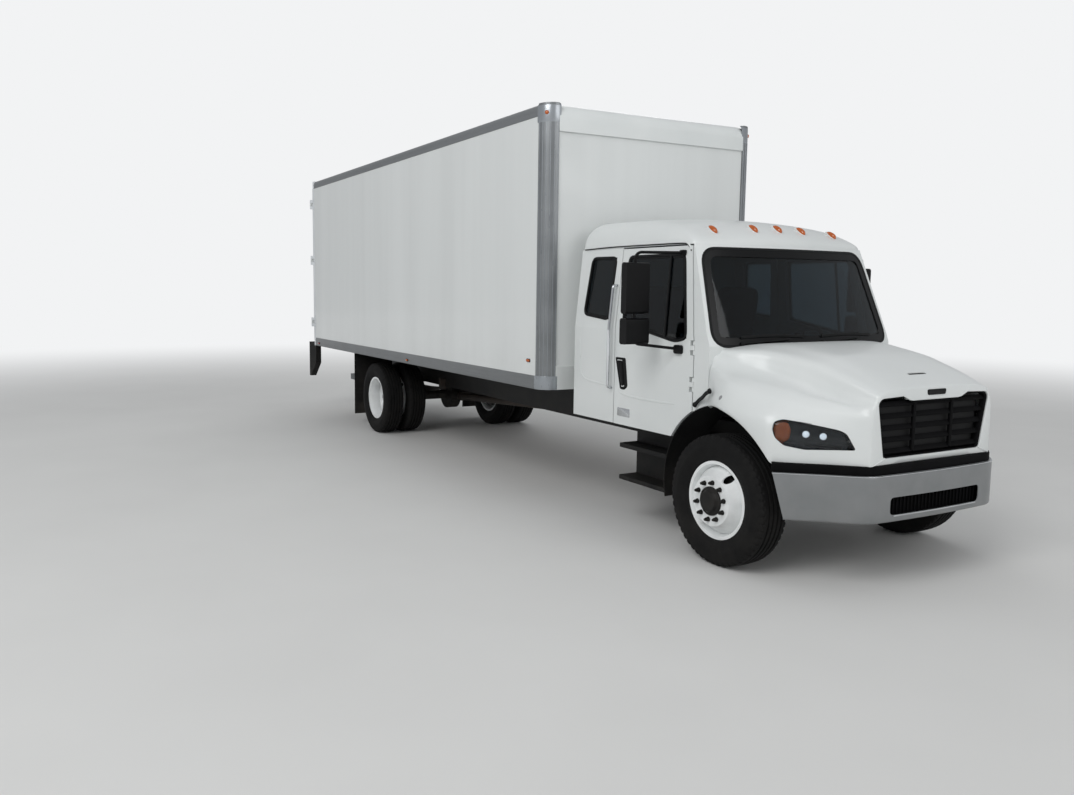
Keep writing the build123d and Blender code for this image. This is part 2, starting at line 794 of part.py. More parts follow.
# Mud flaps behind the rear wheels, hung from the cross sills
flap_x = rear_axle_x - tyre_radius - 330
rearmost_sill_x = floor_mid_x - (cross_sill_count - 1) / 2 * cross_sill_pitch
flap_sill_index = ceil((flap_x - rearmost_sill_x + cross_sill_width / 2) / cross_sill_pitch)
flap_sill_x = rearmost_sill_x + flap_sill_index * cross_sill_pitch + cross_sill_width / 2
flap_width = 610
flap_bottom_z = 164
flap_thickness = 12
with BuildPart() as mud_flaps:
    for start_y in (rear_mount_half + flap_width / 2, -rear_mount_half + flap_width / 2):
        with BuildSketch(Plane.XZ.offset(-start_y)):
            with BuildLine():
                Polyline(
                    (flap_x, flap_bottom_z),
                    (flap_x, sill_top_z),
                    (flap_sill_x, sill_top_z),
                    (flap_sill_x, sill_top_z - flap_thickness),
                    (flap_x + flap_thickness, sill_top_z - flap_thickness),
                    (flap_x + flap_thickness, flap_bottom_z),
                    close=True,
                )
            make_face()
        extrude(amount=flap_width)
save("mud_flaps", mud_flaps.part)

# Cab: one outer form and the same form set in by the wall's thickness, from which the panels are cut
cab_middle_x = front_axle_x - 1200


def cab_form(inset):
    """The cab's closed outer form, with every face moved inwards by inset."""
    corner_x = screen_corner_x - inset
    with BuildPart() as form:
        for base_z, height, lean in ((cab_bottom_z + inset, belt_z - cab_bottom_z - inset, None),
                                     (belt_z, 1200, (screen_rake[0], 0, screen_rake[1]))):
            with BuildSketch(Plane.XY.offset(base_z)):
                with BuildLine():
                    front = ThreePointArc(
                        (corner_x, -cab_half - 20), (corner_x + screen_bow, 0), (corner_x, cab_half + 20)
                    )
                    Polyline(
                        front @ 1,
                        (cab_rear_x - 1000, cab_half + 20),
                        (cab_rear_x - 1000, -cab_half - 20),
                        front @ 0,
                    )
                make_face()
            if lean is None:
                extrude(amount=height)
            else:
                extrude(amount=height, dir=lean)
        with BuildSketch(Plane.YZ.offset(cab_rear_x + inset)):
            with BuildLine():
                half = cab_half - inset
                right = Polyline(
                    (-roof_edge_half + inset, roof_edge_z - inset),
                    (-cab_top_half + inset, roof_seam_z),
                    (-half, tumble_z),
                    (-half, cab_bottom_z + inset),
                    (half, cab_bottom_z + inset),
                    (half, tumble_z),
                    (cab_top_half - inset, roof_seam_z),
                    (roof_edge_half - inset, roof_edge_z - inset),
                )
                ThreePointArc(
                    (roof_edge_half - inset, roof_edge_z - inset),
                    (0, roof_top_z - inset),
                    (-roof_edge_half + inset, roof_edge_z - inset),
                )
            make_face()
        extrude(amount=3000, mode=Mode.INTERSECT)
        with BuildSketch(Plane.XZ.offset(-1500)):
            with BuildLine():
                Polyline(
                    (cab_rear_x + inset, cab_bottom_z + inset),
                    (cab_rear_x + inset, roof_top_z - 90 - inset),
                    (cab_rear_x + 70 + inset, roof_top_z - inset),
                    (front_axle_x - 1150, roof_top_z - 30 - inset),
                    (front_axle_x - 640, roof_top_z - 110 - inset),
                    (front_axle_x - 460, roof_top_z - 250 - inset),
                    (front_axle_x + 100, roof_top_z - 1000),
                    (front_axle_x + 100, cab_bottom_z + inset),
                    close=True,
                )
            make_face()
        extrude(amount=3000, mode=Mode.INTERSECT)
    return form.part


def side_prism(points, inner_y, outer_y):
    """A closed outline in the XZ plane carried from inner_y to outer_y."""
    with BuildPart() as prism:
        with BuildSketch(Plane.XZ.offset(-inner_y)):
            with BuildLine():
                Polyline(points, close=True)
            make_face()
        extrude(amount=inner_y - outer_y)
    return prism.part


def arch_prism(radius, inner_y, outer_y):
    """A cylinder round the wheel arch's centre line."""
    with BuildPart() as prism:
        with BuildSketch(Plane.XZ.offset(-inner_y)):
            with Locations((arch_centre_x, arch_centre_z)):
                Circle(radius)
        extrude(amount=inner_y - outer_y)
    return prism.part


cab_outside = cab_form(0)
cab_inside = cab_form(cab_wall)
glass_outside = cab_form(6)
glass_inside = cab_form(6 + glass_thickness)

# Outlines on the cab's side: the door, its window and the quarter window
far_side = 1200
door_outline = [
    (door_rear_x, cab_bottom_z - 50),
    (door_rear_x, roof_seam_z - 12),
    (door_front_top_x, roof_seam_z - 12),
    (door_front_x, tumble_z - 60),
    (door_front_x, cab_bottom_z - 50),
]
door_opening = [
    (door_rear_x - door_seam, cab_bottom_z - 60),
    (door_rear_x - door_seam, roof_seam_z),
    (door_front_top_x + door_seam, roof_seam_z),
    (door_front_x + door_seam, tumble_z - 60),
    (door_front_x + door_seam, cab_bottom_z - 60),
]
door_window = [
    (front_axle_x - 1345, 1790),
    (front_axle_x - 1345, 2360),
    (front_axle_x - 620, 2360),
    (front_axle_x - 500, 1690),
    (front_axle_x - 640, 1660),
    (front_axle_x - 1020, 1727),
]
quarter_window = [
    (front_axle_x - 1954, 1844),
    (front_axle_x - 1900, 2361),
    (front_axle_x - 1530, 2358),
    (front_axle_x - 1560, 1805),
]
back_wall_front_x = cab_rear_x + cab_wall

with BuildPart() as cab_shell:
    add(cab_outside)
    add(cab_inside, mode=Mode.SUBTRACT)
    for side in (-1, 1):
        add(side_prism(door_opening, side * 700, side * far_side), mode=Mode.SUBTRACT)
        add(side_prism(quarter_window, side * 700, side * far_side), mode=Mode.SUBTRACT)
        add(arch_prism(arch_radius, side * 600, side * far_side), mode=Mode.SUBTRACT)


def screen_prism(reduce):
    """The windscreen's outline in front view, carried through the screen's wall."""
    with BuildPart() as prism:
        with BuildSketch(Plane.YZ.offset(front_axle_x - 700)) as outline:
            with BuildLine():
                Polyline(
                    (-970 + reduce, 1668 + reduce),
                    (970 - reduce, 1668 + reduce),
                    (880 - reduce, 2365 - reduce),
                    (-880 + reduce, 2365 - reduce),
                    close=True,
                )
            make_face()
            fillet(outline.vertices(), 60)
        extrude(amount=900)
    return prism.part


def box_region(x_low, x_high, z_low, z_high):
    """A box across the whole cab."""
    with BuildPart() as region:
        with BuildSketch(Plane.XY.offset(z_low)):
            with Locations(((x_low + x_high) / 2, 0)):
                Rectangle(x_high - x_low, 2 * far_side)
        extrude(amount=z_high - z_low)
    return region.part


cab_far_front_x = front_axle_x + 200
cab_far_rear_x = cab_rear_x - 10
screen_hole = screen_prism(0)
screen_pane = screen_prism(seat_gap)

# Roof panel, down to the seam above the doors and the windscreen
gutter_rear = (front_axle_x - 1926, 901, 2520)
gutter_run = (1326, 24, -35)
gutter_width = 20
gutter_height = 16
with BuildPart() as cab_roof:
    add(cab_shell.part)
    add(box_region(cab_far_rear_x, cab_far_front_x, roof_seam_z, roof_top_z + 10), mode=Mode.INTERSECT)
    for side in (-1, 1):
        gutter_end = Plane(
            origin=(gutter_rear[0], side * gutter_rear[1], gutter_rear[2]),
            x_dir=(-gutter_run[1], side * gutter_run[0], 0),
            z_dir=(gutter_run[0], side * gutter_run[1], gutter_run[2]),
        )
        with BuildSketch(gutter_end):
            Rectangle(gutter_width, gutter_height)
        extrude(amount=gutter_run[0])
save("cab_roof", cab_roof.part)

# Back wall between the wrapped corners
cab_pan_z = 1040
cab_pan_thickness = 55
back_wall_half = 870
with BuildPart() as cab_back_wall:
    with BuildSketch(Plane.YZ.offset(cab_rear_x)):
        with Locations((0, (cab_pan_z + roof_seam_z) / 2)):
            Rectangle(2 * back_wall_half, roof_seam_z - cab_pan_z)
    extrude(amount=cab_wall)
save("cab_back_wall", cab_back_wall.part)

# Rear quarter panels, wrapped round the cab's rear corners
cab_inner_half = cab_half - cab_wall
with BuildPart() as cab_side_panels:
    add(cab_shell.part)
    add(box_region(cab_far_rear_x, door_rear_x - door_seam, cab_bottom_z, roof_seam_z), mode=Mode.INTERSECT)
    with BuildSketch(Plane.XY.offset(cab_bottom_z - 10)):
        with Locations((cab_middle_x, 0)):
            Rectangle(3000, 2 * back_wall_half)
    extrude(amount=roof_seam_z - cab_bottom_z + 20, mode=Mode.SUBTRACT)
    with BuildSketch(Plane.XY.offset(cab_bottom_z - 10)):
        with Locations((cab_middle_x, 0)):
            Rectangle(3000, 2 * cab_inner_half)
    extrude(amount=cab_pan_z - cab_bottom_z + 10, mode=Mode.SUBTRACT)
save("cab_side_panels", cab_side_panels.part)

# Floor pan on four mounts over the frame, its front corners cut round the wheel arches
cab_mount_x = (front_axle_x - 420, front_axle_x - 1950)
firewall_rear_x = screen_corner_x - cab_wall
cab_pan_half = cab_inner_half - running_gap
with BuildPart() as cab_floor:
    with BuildSketch(Plane.XY.offset(cab_pan_z)):
        with Locations(((back_wall_front_x + firewall_rear_x) / 2, 0)):
            Rectangle(firewall_rear_x - back_wall_front_x, 2 * cab_pan_half)
    extrude(amount=cab_pan_thickness)
    for side in (-1, 1):
        add(arch_prism(arch_radius, side * 600, side * far_side), mode=Mode.SUBTRACT)
    with BuildSketch(Plane.XY.offset(rail_top_z)):
        for x in cab_mount_x:
            for side in (-1, 1):
                with Locations((x, side * (rail_half - rail_flange / 2))):
                    Rectangle(110, rail_flange - 6)
    extrude(amount=cab_pan_z - rail_top_z)
save("cab_floor", cab_floor.part)

# Cowl: firewall, windscreen frame and pillars as one welded front
with BuildPart() as cab_cowl:
    add(cab_shell.part)
    add(box_region(door_rear_x + 60, cab_far_front_x, cab_pan_z, roof_seam_z), mode=Mode.INTERSECT)
    add(screen_hole, mode=Mode.SUBTRACT)
    with BuildSketch(Plane.XY.offset(cab_pan_z)):
        with Locations((firewall_rear_x - 1500 / 2, 0)):
            Rectangle(1500, 2 * cab_inner_half)
    extrude(amount=cab_pan_thickness, mode=Mode.SUBTRACT)
save("cab_cowl", cab_cowl.part)

# Windscreen and quarter windows in their openings
with BuildPart() as windscreen:
    add(glass_outside)
    add(glass_inside, mode=Mode.SUBTRACT)
    add(screen_pane, mode=Mode.INTERSECT)
with BuildPart() as quarter_windows:
    add(glass_outside)
    add(glass_inside, mode=Mode.SUBTRACT)
    add(side_prism(quarter_window, -far_side, far_side), mode=Mode.INTERSECT)
with BuildPart() as cab_windows:
    add(windscreen.part)
    add(quarter_windows.part)
save("cab_windows", cab_windows.part)

# Cab doors: each a full-thickness leaf with its window cut, hung on two hinges at the front edge
door_pin_x = door_front_x - 4
door_pin_y = cab_half - 9
door_pin_radius = 5
door_barrel_radius = 9
door_hinge_z = (1330, 1620)
handle_depth = 14
handle_pocket = tuple(
    (front_axle_x + x, z) for x, z in ((-1423, 1470), (-1285, 1470), (-1250, 1235), (-1290, 1205), (-1350, 1205))
)
handle_pull = tuple((front_axle_x + x, z) for x, z in ((-1400, 1458), (-1335, 1458), (-1300, 1225), (-1335, 1222)))
with BuildPart() as door_left:
    add(cab_outside)
    add(cab_inside, mode=Mode.SUBTRACT)
    add(side_prism(door_outline, 700, far_side), mode=Mode.INTERSECT)
    add(box_region(cab_far_rear_x, cab_far_front_x, cab_bottom_z, roof_seam_z - running_gap), mode=Mode.INTERSECT)
    add(arch_prism(arch_radius + running_gap, 600, far_side), mode=Mode.SUBTRACT)
    add(side_prism(door_window, 700, far_side), mode=Mode.SUBTRACT)
    add(side_prism(handle_pocket, cab_half - handle_depth, far_side), mode=Mode.SUBTRACT)
    add(side_prism(handle_pull, cab_half - handle_depth - 1, cab_half + 2))
    with BuildSketch(Plane.XY.offset(cab_bottom_z - 10)):
        with Locations((cab_middle_x, 0)):
            Rectangle(3000, 2 * (cab_inner_half - 1))
    extrude(amount=cab_wall + 12, mode=Mode.SUBTRACT)
save("door_left", door_left.part)
with BuildPart() as door_right:
    mirror(door_left.part, about=Plane.XZ)
save("door_right", door_right.part)
with BuildPart() as door_glass_left:
    add(glass_outside)
    add(glass_inside, mode=Mode.SUBTRACT)
    add(side_prism(door_window, 700, far_side), mode=Mode.INTERSECT)
save("door_glass_left", door_glass_left.part)
with BuildPart() as door_glass_right:
    mirror(door_glass_left.part, about=Plane.XZ)
save("door_glass_right", door_glass_right.part)

# Hood: a shell lofted through sections whose crown, shoulder, valley, fender crown and side are tabled
hood_sections = (
    # ahead of the axle, crown z, flat half, flat z, shoulder half, shoulder z, valley half, valley z,
    # fender crown half, fender crown z, side top half, side top z, side half
    (-225, 1656, 600, 1653, 900, 1622, 985, 1565, 1008, 1500, 1026, 1430, 1034),
    (-60, 1668, 540, 1664, 850, 1617, 945, 1505, 1010, 1440, 1085, 1375, 1120),
    (120, 1664, 460, 1660, 735, 1600, 850, 1440, 960, 1408, 1110, 1360, 1168),
    (420, 1622, 440, 1614, 670, 1548, 775, 1385, 870, 1350, 1040, 1300, 1150),
    (560, 1584, 430, 1575, 645, 1507, 745, 1350, 820, 1315, 960, 1265, 1080),
    (760, 1506, 420, 1496, 615, 1432, 690, 1300, 730, 1270, 800, 1220, 850),
    (964, 1392, 400, 1380, 560, 1335, 596, 1240, 604, 1200, 610, 1130, 614),
)


def eased_rows(table, parts):
    """The table's rows and others between them, on cubics through the tabled values with mean slopes."""
    rows = []
    for index in range(len(table) - 1):
        before, start = table[max(index - 1, 0)], table[index]
        end, after = table[index + 1], table[min(index + 2, len(table) - 1)]
        span = end[0] - start[0]
        for part in range(parts):
            t = part / parts
            rows.append(tuple(
                (2 * t**3 - 3 * t**2 + 1) * start[k]
                + (3 * t**2 - 2 * t**3) * end[k]
                + (t**3 - 2 * t**2 + t) * span * (end[k] - before[k]) / (end[0] - before[0])
                + (t**3 - t**2) * span * (after[k] - start[k]) / (after[0] - start[0])
                for k in range(len(start))
            ))
    return [*rows, table[-1]]


hood_rows = eased_rows(hood_sections, 2)


def hood_form(inset):
    """The hood's closed form, with its faces moved inwards by inset."""
    with BuildPart() as form:
        for row in hood_rows:
            (ahead, crown_z, flat_half, flat_z, shoulder_half, shoulder_z, valley_half, valley_z,
             fender_half, fender_z, side_top_half, side_top_z, side_half) = row
            left_side = [
                (flat_half - inset, flat_z - inset),
                (shoulder_half - inset, shoulder_z - inset),
                (valley_half - inset, valley_z - inset),
                (fender_half - inset, fender_z - inset),
                (side_top_half - inset, side_top_z - inset),
                (side_half - inset, side_top_z - 120),
                (side_half - inset, hood_bottom_z - inset * 3),
            ]
            reach = -inset if ahead == hood_sections[-1][0] else 0
            with BuildSketch(Plane.YZ.offset(front_axle_x + ahead + reach)):
                with BuildLine():
                    Polyline(
                        (0, crown_z - inset),
                        *left_side,
                        *[(-y, z) for y, z in reversed(left_side)],
                        close=True,
                    )
                make_face()
        loft(ruled=True)
    return form.part


def lamp_prism(reduce, inner, outer):
    """The headlamp's outline, square to the fender's swept front, on the left side."""
    sweep_start = (front_axle_x + 500, 1150)
    along = Vector(450, -530, 0).normalized()
    outward = Vector(530, 450, 0).normalized()
    with BuildPart() as prism:
        with BuildSketch(Plane(origin=(*sweep_start, 0), x_dir=along, z_dir=outward)) as outline:
            with BuildLine():
                Polyline(
                    (50 + reduce, -1104),
                    (106 + reduce, -1175 + reduce),
                    (467 - reduce, -1139 + reduce),
                    (567 - reduce, -1000 - reduce),
                    (170 + reduce, -987 - reduce),
                    close=True,
                )
            make_face()
            fillet(outline.vertices(), 26)
        extrude(amount=outer)
        with BuildSketch(Plane(origin=(*sweep_start, 0), x_dir=along, z_dir=outward)):
            add(outline.sketch_local)
        extrude(amount=-inner)
    return prism.part


def grille_prism(reduce, x_low, x_high):
    """The grille opening's outline, carried along X."""
    with BuildPart() as prism:
        with BuildSketch(Plane.YZ.offset(x_low)) as outline:
            with BuildLine():
                Polyline(
                    (-grille_half_bottom + reduce, grille_bottom_z + reduce),
                    (grille_half_bottom - reduce, grille_bottom_z + reduce),
                    (grille_half_top - reduce, grille_top_z - reduce),
                    (-grille_half_top + reduce, grille_top_z - reduce),
                    close=True,
                )
            make_face()
            fillet(outline.vertices(), 55)
        extrude(amount=x_high - x_low)
    return prism.part


hood_front_x = front_axle_x + hood_sections[-1][0]
hood_outside = hood_form(0)
hood_inside = hood_form(hood_wall)
headlamp_depth = 60
grille_inset = 16
lamp_cut = lamp_prism(0, 250, 250)


def cab_front_prism(gap):
    """Everything behind the cab's bowed front, moved forward by gap."""
    edge_x = screen_corner_x + gap
    with BuildPart() as prism:
        with BuildSketch(Plane.XY.offset(hood_bottom_z - 100)):
            with BuildLine():
                bow = ThreePointArc((edge_x, -cab_half - 20), (edge_x + screen_bow, 0), (edge_x, cab_half + 20))
                Polyline(
                    bow @ 1,
                    (edge_x, far_side),
                    (cab_rear_x, far_side),
                    (cab_rear_x, -far_side),
                    (edge_x, -far_side),
                    bow @ 0,
                )
            make_face()
        extrude(amount=1200)
    return prism.part


cab_front_region = cab_front_prism(2 * running_gap)
hood_vent_ahead = 816
hood_vent_z = 1480
hood_vent_reach = 60
hood_vent_length = 190
hood_vent_width = 18
badge_z = 1360
badge_half = 105
badge_half_height = 15
badge_proud = 6
with BuildPart() as lamp_cut_right:
    mirror(lamp_cut, about=Plane.XZ)
with BuildPart() as hood_shell:
    add(hood_outside)
    add(hood_inside, mode=Mode.SUBTRACT)
    for side in (-1, 1):
        add(arch_prism(arch_radius, side * 640, side * far_side), mode=Mode.SUBTRACT)
    add(lamp_cut, mode=Mode.SUBTRACT)
    add(lamp_cut_right.part, mode=Mode.SUBTRACT)
    add(grille_prism(grille_inset, hood_front_x - 60, hood_front_x + 20), mode=Mode.SUBTRACT)
    add(cab_front_region, mode=Mode.SUBTRACT)
    with BuildSketch(Plane.XY.offset(hood_vent_z - hood_vent_reach)):
        with Locations((front_axle_x + hood_vent_ahead, 0)):
            SlotOverall(hood_vent_length, hood_vent_width, rotation=90)
    extrude(amount=2 * hood_vent_reach, mode=Mode.SUBTRACT)
    with BuildSketch(Plane.YZ.offset(hood_front_x - 1)):
        with Locations((0, badge_z)):
            Ellipse(badge_half, badge_half_height)
    extrude(amount=badge_proud + 1)
    for side in (-1, 1):
        with BuildSketch(Plane.XZ.offset(side * hood_hinge_half - 20)):
            with BuildLine():
                Polyline(
                    (hood_hinge_x - hood_hinge_eye, hood_hinge_z),
                    (hood_front_x - 60, grille_bottom_z - 10),
                    (hood_front_x - 4, grille_bottom_z - 10),
                    (hood_hinge_x, hood_hinge_z),
                    close=True,
                )
            make_face()
            with Locations((hood_hinge_x, hood_hinge_z)):
                Circle(hood_hinge_eye)
                Circle(hood_pin_radius + seat_gap, mode=Mode.SUBTRACT)
        extrude(amount=40)
save("hood_shell", hood_shell.part)

# Grille: a rounded frame that holds five louvres and two uprights
grille_rim = 14
grille_depth = 36
louvre_count = 5
louvre_height = 22
louvre_top_z = grille_top_z - grille_inset - grille_rim
louvre_bottom_z = grille_bottom_z + grille_inset + grille_rim
louvre_pitch = (louvre_top_z - louvre_bottom_z) / louvre_count
with BuildPart() as hood_grille:
    add(grille_prism(grille_inset + seat_gap, hood_front_x - grille_depth, hood_front_x + 8))
    add(grille_prism(grille_inset + grille_rim, hood_front_x - grille_depth - 1, hood_front_x + 9), mode=Mode.SUBTRACT)
    with BuildSketch(Plane.YZ.offset(hood_front_x - grille_depth)):
        for index in range(louvre_count - 1):
            with Locations((0, louvre_bottom_z + (index + 1) * louvre_pitch)):
                Rectangle(2 * grille_half_top, louvre_height)
        for side in (-1, 1):
            with Locations((side * grille_half_top / 3, (louvre_top_z + louvre_bottom_z) / 2)):
                Rectangle(16, louvre_top_z - louvre_bottom_z + 10)
    extrude(amount=grille_depth - 8)
    add(grille_prism(grille_inset + seat_gap, hood_front_x - grille_depth, hood_front_x + 8), mode=Mode.INTERSECT)
save("hood_grille", hood_grille.part)

# Headlamps set flush in the fenders
with BuildPart() as headlamps:
    add(hood_outside)
    add(hood_form(headlamp_depth), mode=Mode.SUBTRACT)
    add(lamp_prism(seat_gap, 250, 250), mode=Mode.INTERSECT)
    mirror(about=Plane.XZ)
save("headlamps", headlamps.part)

# Wheel arch liners under the fenders, which tilt with the hood
liner_thickness = 8
liner_inner_half = 620
with BuildPart() as arch_liners:
    add(arch_prism(arch_radius + liner_thickness, liner_inner_half, far_side))
    add(arch_prism(arch_radius, liner_inner_half - 5, far_side), mode=Mode.SUBTRACT)
    add(hood_form(hood_wall + seat_gap), mode=Mode.INTERSECT)
    add(cab_front_region, mode=Mode.SUBTRACT)
    mirror(about=Plane.XZ)
save("arch_liners", arch_liners.part)

# Splash guards behind the front wheels, fixed to the cab's floor and running down to the steps
guard_bottom_z = 363
guard_outer_half = 1012
with BuildPart() as splash_guards:
    add(arch_prism(arch_radius - seat_gap, liner_inner_half, guard_outer_half))
    add(arch_prism(arch_radius - liner_thickness, liner_inner_half - 5, guard_outer_half + 5), mode=Mode.SUBTRACT)
    with BuildSketch(Plane.XZ.offset(-liner_inner_half)):
        with Locations((screen_corner_x - 500, guard_bottom_z + 500)):
            Rectangle(1000, 1000)
    extrude(amount=-600, mode=Mode.INTERSECT)
    mirror(about=Plane.XZ)
save("splash_guards", splash_guards.part)

# Wheels: each tyre and rim is turned round its axle line; the rear ones are twins on one hub


def ring_form(axle_x, sections):
    """A many-sided solid round an axle line, lofted through (distance from the middle plane, radius) rows."""
    with BuildPart() as form:
        for y, radius in sections:
            with BuildSketch(Plane.XZ.offset(-y)):
                with Locations((axle_x, axle_z)):
                    RegularPolygon(radius, tyre_sides)
        loft(ruled=True)
    return form.part


def tyre_ring(axle_x, half):
    """One tyre, its middle at half from the middle plane."""
    bore = (rim_flange_radius + seat_gap) / cos(radians(180 / tyre_sides))
    bead = rim_width / 2
    wide = tyre_width / 2
    outside = (
        (half - wide, tyre_waist_radius),
        (half - wide + 12, tyre_shoulder_radius),
        (half - tyre_tread_half, tyre_radius),
        (half + tyre_tread_half, tyre_radius),
        (half + wide - 12, tyre_shoulder_radius),
        (half + wide, tyre_waist_radius),
    )
    with BuildPart() as ring:
        add(ring_form(axle_x, outside))
        for side in (-1, 1):
            dish = ((half + side * bead, bore), (half + side * wide, tyre_waist_radius))
            add(ring_form(axle_x, sorted(dish)), mode=Mode.SUBTRACT)
        add(ring_form(axle_x, ((half - wide, bore), (half + wide, bore))), mode=Mode.SUBTRACT)
    return ring.part


def rim_disc(axle_x, half, mount, outboard):
    """One steel disc wheel: its barrel's middle at half, its disc from mount outwards, rooted towards outboard."""
    side = 1 if outboard else -1
    near = mount + (rim_wall if outboard else 0)
    far = mount + (0 if outboard else rim_wall)
    disc_root = half + side * (rim_width / 2 - 45)
    with BuildPart() as disc:
        with BuildSketch(Plane.XY.offset(axle_z)):
            with BuildLine():
                Polyline(
                    (axle_x + rim_flange_radius, half - rim_width / 2),
                    (axle_x + rim_flange_radius, half - rim_width / 2 + rim_wall),
                    (axle_x + tyre_bead_radius - 6, half - rim_width / 2 + rim_wall + 2),
                    (axle_x + 262, half - 50),
                    (axle_x + 262, half + 50),
                    (axle_x + tyre_bead_radius - 6, half + rim_width / 2 - rim_wall - 2),
                    (axle_x + rim_flange_radius, half + rim_width / 2 - rim_wall),
                    (axle_x + rim_flange_radius, half + rim_width / 2),
                    (axle_x + tyre_bead_radius - 16, half + rim_width / 2),
                    (axle_x + 252, half + 44),
                    (axle_x + 252, half - 44),
                    (axle_x + tyre_bead_radius - 16, half - rim_width / 2),
                    close=True,
                )
            make_face()
            with BuildLine():
                Polyline(
                    (axle_x + 256, disc_root - side * 16),
                    (axle_x + 256, disc_root - side * 2),
                    (axle_x + 190, near),
                    (axle_x + hub_bore_radius, near),
                    (axle_x + hub_bore_radius, far),
                    (axle_x + 186, far),
                    close=True,
                )
            make_face()
        revolve(axis=Axis((axle_x, 0, axle_z), (0, 1, 0)), revolution_arc=360)
        with BuildSketch(Plane.XZ.offset(-mount + 300)):
            with Locations((axle_x, axle_z)):
                with PolarLocations(222, 2, start_angle=55):
                    Circle(hand_hole_radius)
        extrude(amount=-600, mode=Mode.SUBTRACT)
    return disc.part


def hub_drum(axle_x, mount, drum_inner, pilot, reach):
    """A hub on its spindle: brake drum, flange behind the discs, pilot barrel and cap, with its bearing bore."""
    with BuildPart() as hub:
        with BuildSketch(Plane.XY.offset(axle_z)):
            with BuildLine():
                Polyline(
                    (axle_x + spindle_radius + bearing_clearance, drum_inner),
                    (axle_x + 208, drum_inner),
                    (axle_x + 208, mount - 90),
                    (axle_x + 120, mount - 60),
                    (axle_x + 120, mount - 14),
                    (axle_x + 172, mount - 14),
                    (axle_x + 172, mount),
                    (axle_x + hub_bore_radius - seat_gap, mount),
                    (axle_x + hub_bore_radius - seat_gap, mount + pilot),
                    (axle_x + 86, mount + pilot + 8),
                    (axle_x + 74, mount + reach),
                    (axle_x, mount + reach),
                    (axle_x, mount + reach - 12),
                    (axle_x + spindle_radius + bearing_clearance, mount + reach - 12),
                    close=True,
                )
            make_face()
        revolve(axis=Axis((axle_x, 0, axle_z), (0, 1, 0)), revolution_arc=360)
    return hub.part


front_mount_half = front_track_half + front_disc_offset
rear_outer_half = rear_mount_half + rear_disc_offset
rear_inner_half = rear_mount_half - rear_disc_offset
front_drum_inner = 965
front_hub_reach = 46
rear_hub_reach = 160
rear_flange_half = rear_mount_half - rim_wall - seat_gap
with BuildPart() as tyre_front_left:
    add(tyre_ring(front_axle_x, front_track_half))
with BuildPart() as rim_front_left:
    add(rim_disc(front_axle_x, front_track_half, front_mount_half, True))
with BuildPart() as hub_front_left:
    add(hub_drum(front_axle_x, front_mount_half, front_drum_inner, 2 * rim_wall, front_hub_reach))
with BuildPart() as tyres_rear_left:
    add(tyre_ring(rear_axle_x, rear_outer_half))
    add(tyre_ring(rear_axle_x, rear_inner_half))
with BuildPart() as rims_rear_left:
    add(rim_disc(rear_axle_x, rear_outer_half, rear_mount_half, False))
    add(rim_disc(rear_axle_x, rear_inner_half, rear_flange_half, True))
with BuildPart() as hub_rear_left:
    add(hub_drum(rear_axle_x, rear_flange_half, rear_spindle_inner_half + 60, 3 * rim_wall, rear_hub_reach))
for name, left in (
    ("tyre_front", tyre_front_left),
    ("rim_front", rim_front_left),
    ("hub_front", hub_front_left),
    ("tyres_rear", tyres_rear_left),
    ("rims_rear", rims_rear_left),
    ("hub_rear", hub_rear_left),
):
    save(f"{name}_left", left.part)
    with BuildPart() as right:
        mirror(left.part, about=Plane.XZ)
    save(f"{name}_right", right.part)

# Steering knuckles: a yoke round the axle's eye, its kingpin, the wheel's spindle and a steering arm behind
ear_gap = 2
ear_height = 34
web_inner = 52
web_depth = 26
arm_end_radius = 20
arm_eye_radius = 10
arm_half = kingpin_half
arm_z = axle_z - eye_half_height - ear_gap - ear_height
front_spindle_end = front_mount_half + front_hub_reach - 14
with BuildPart() as knuckle_left:
    for low in (axle_z + eye_half_height + ear_gap, arm_z):
        with BuildSketch(Plane.XY.offset(low)):
            with Locations((front_axle_x, kingpin_half)):
                Circle(eye_radius)
            with Locations((front_axle_x, kingpin_half + (web_inner + web_depth) / 2)):
                Rectangle(2 * eye_radius, web_inner + web_depth)
        extrude(amount=ear_height)
    with BuildSketch(Plane.XY.offset(arm_z)):
        with Locations((front_axle_x, kingpin_half + web_inner + web_depth / 2)):
            Rectangle(2 * eye_radius, web_depth)
    extrude(amount=2 * (eye_half_height + ear_gap + ear_height))
    with BuildSketch(Plane.XY.offset(arm_z)):
        with Locations((front_axle_x, kingpin_half)):
            Circle(kingpin_radius)
    extrude(amount=2 * (eye_half_height + ear_gap + ear_height))
    with BuildSketch(Plane.XZ.offset(-(kingpin_half + web_inner))):
        with Locations((front_axle_x, axle_z)):
            Circle(spindle_radius)
    extrude(amount=-(front_spindle_end - kingpin_half - web_inner))
    with BuildSketch(Plane.XY.offset(arm_z)):
        with BuildLine():
            Polyline(
                (front_axle_x, kingpin_half + 30),
                (front_axle_x, kingpin_half - 30),
                (front_axle_x - steering_arm, arm_half - 16),
                (front_axle_x - steering_arm, arm_half + 16),
                close=True,
            )
        make_face()
        with Locations((front_axle_x - steering_arm, arm_half)):
            Circle(arm_end_radius)
            Circle(arm_eye_radius, mode=Mode.SUBTRACT)
    extrude(amount=24)
save("knuckle_left", knuckle_left.part)
with BuildPart() as knuckle_right:
    mirror(knuckle_left.part, about=Plane.XZ)
save("knuckle_right", knuckle_right.part)

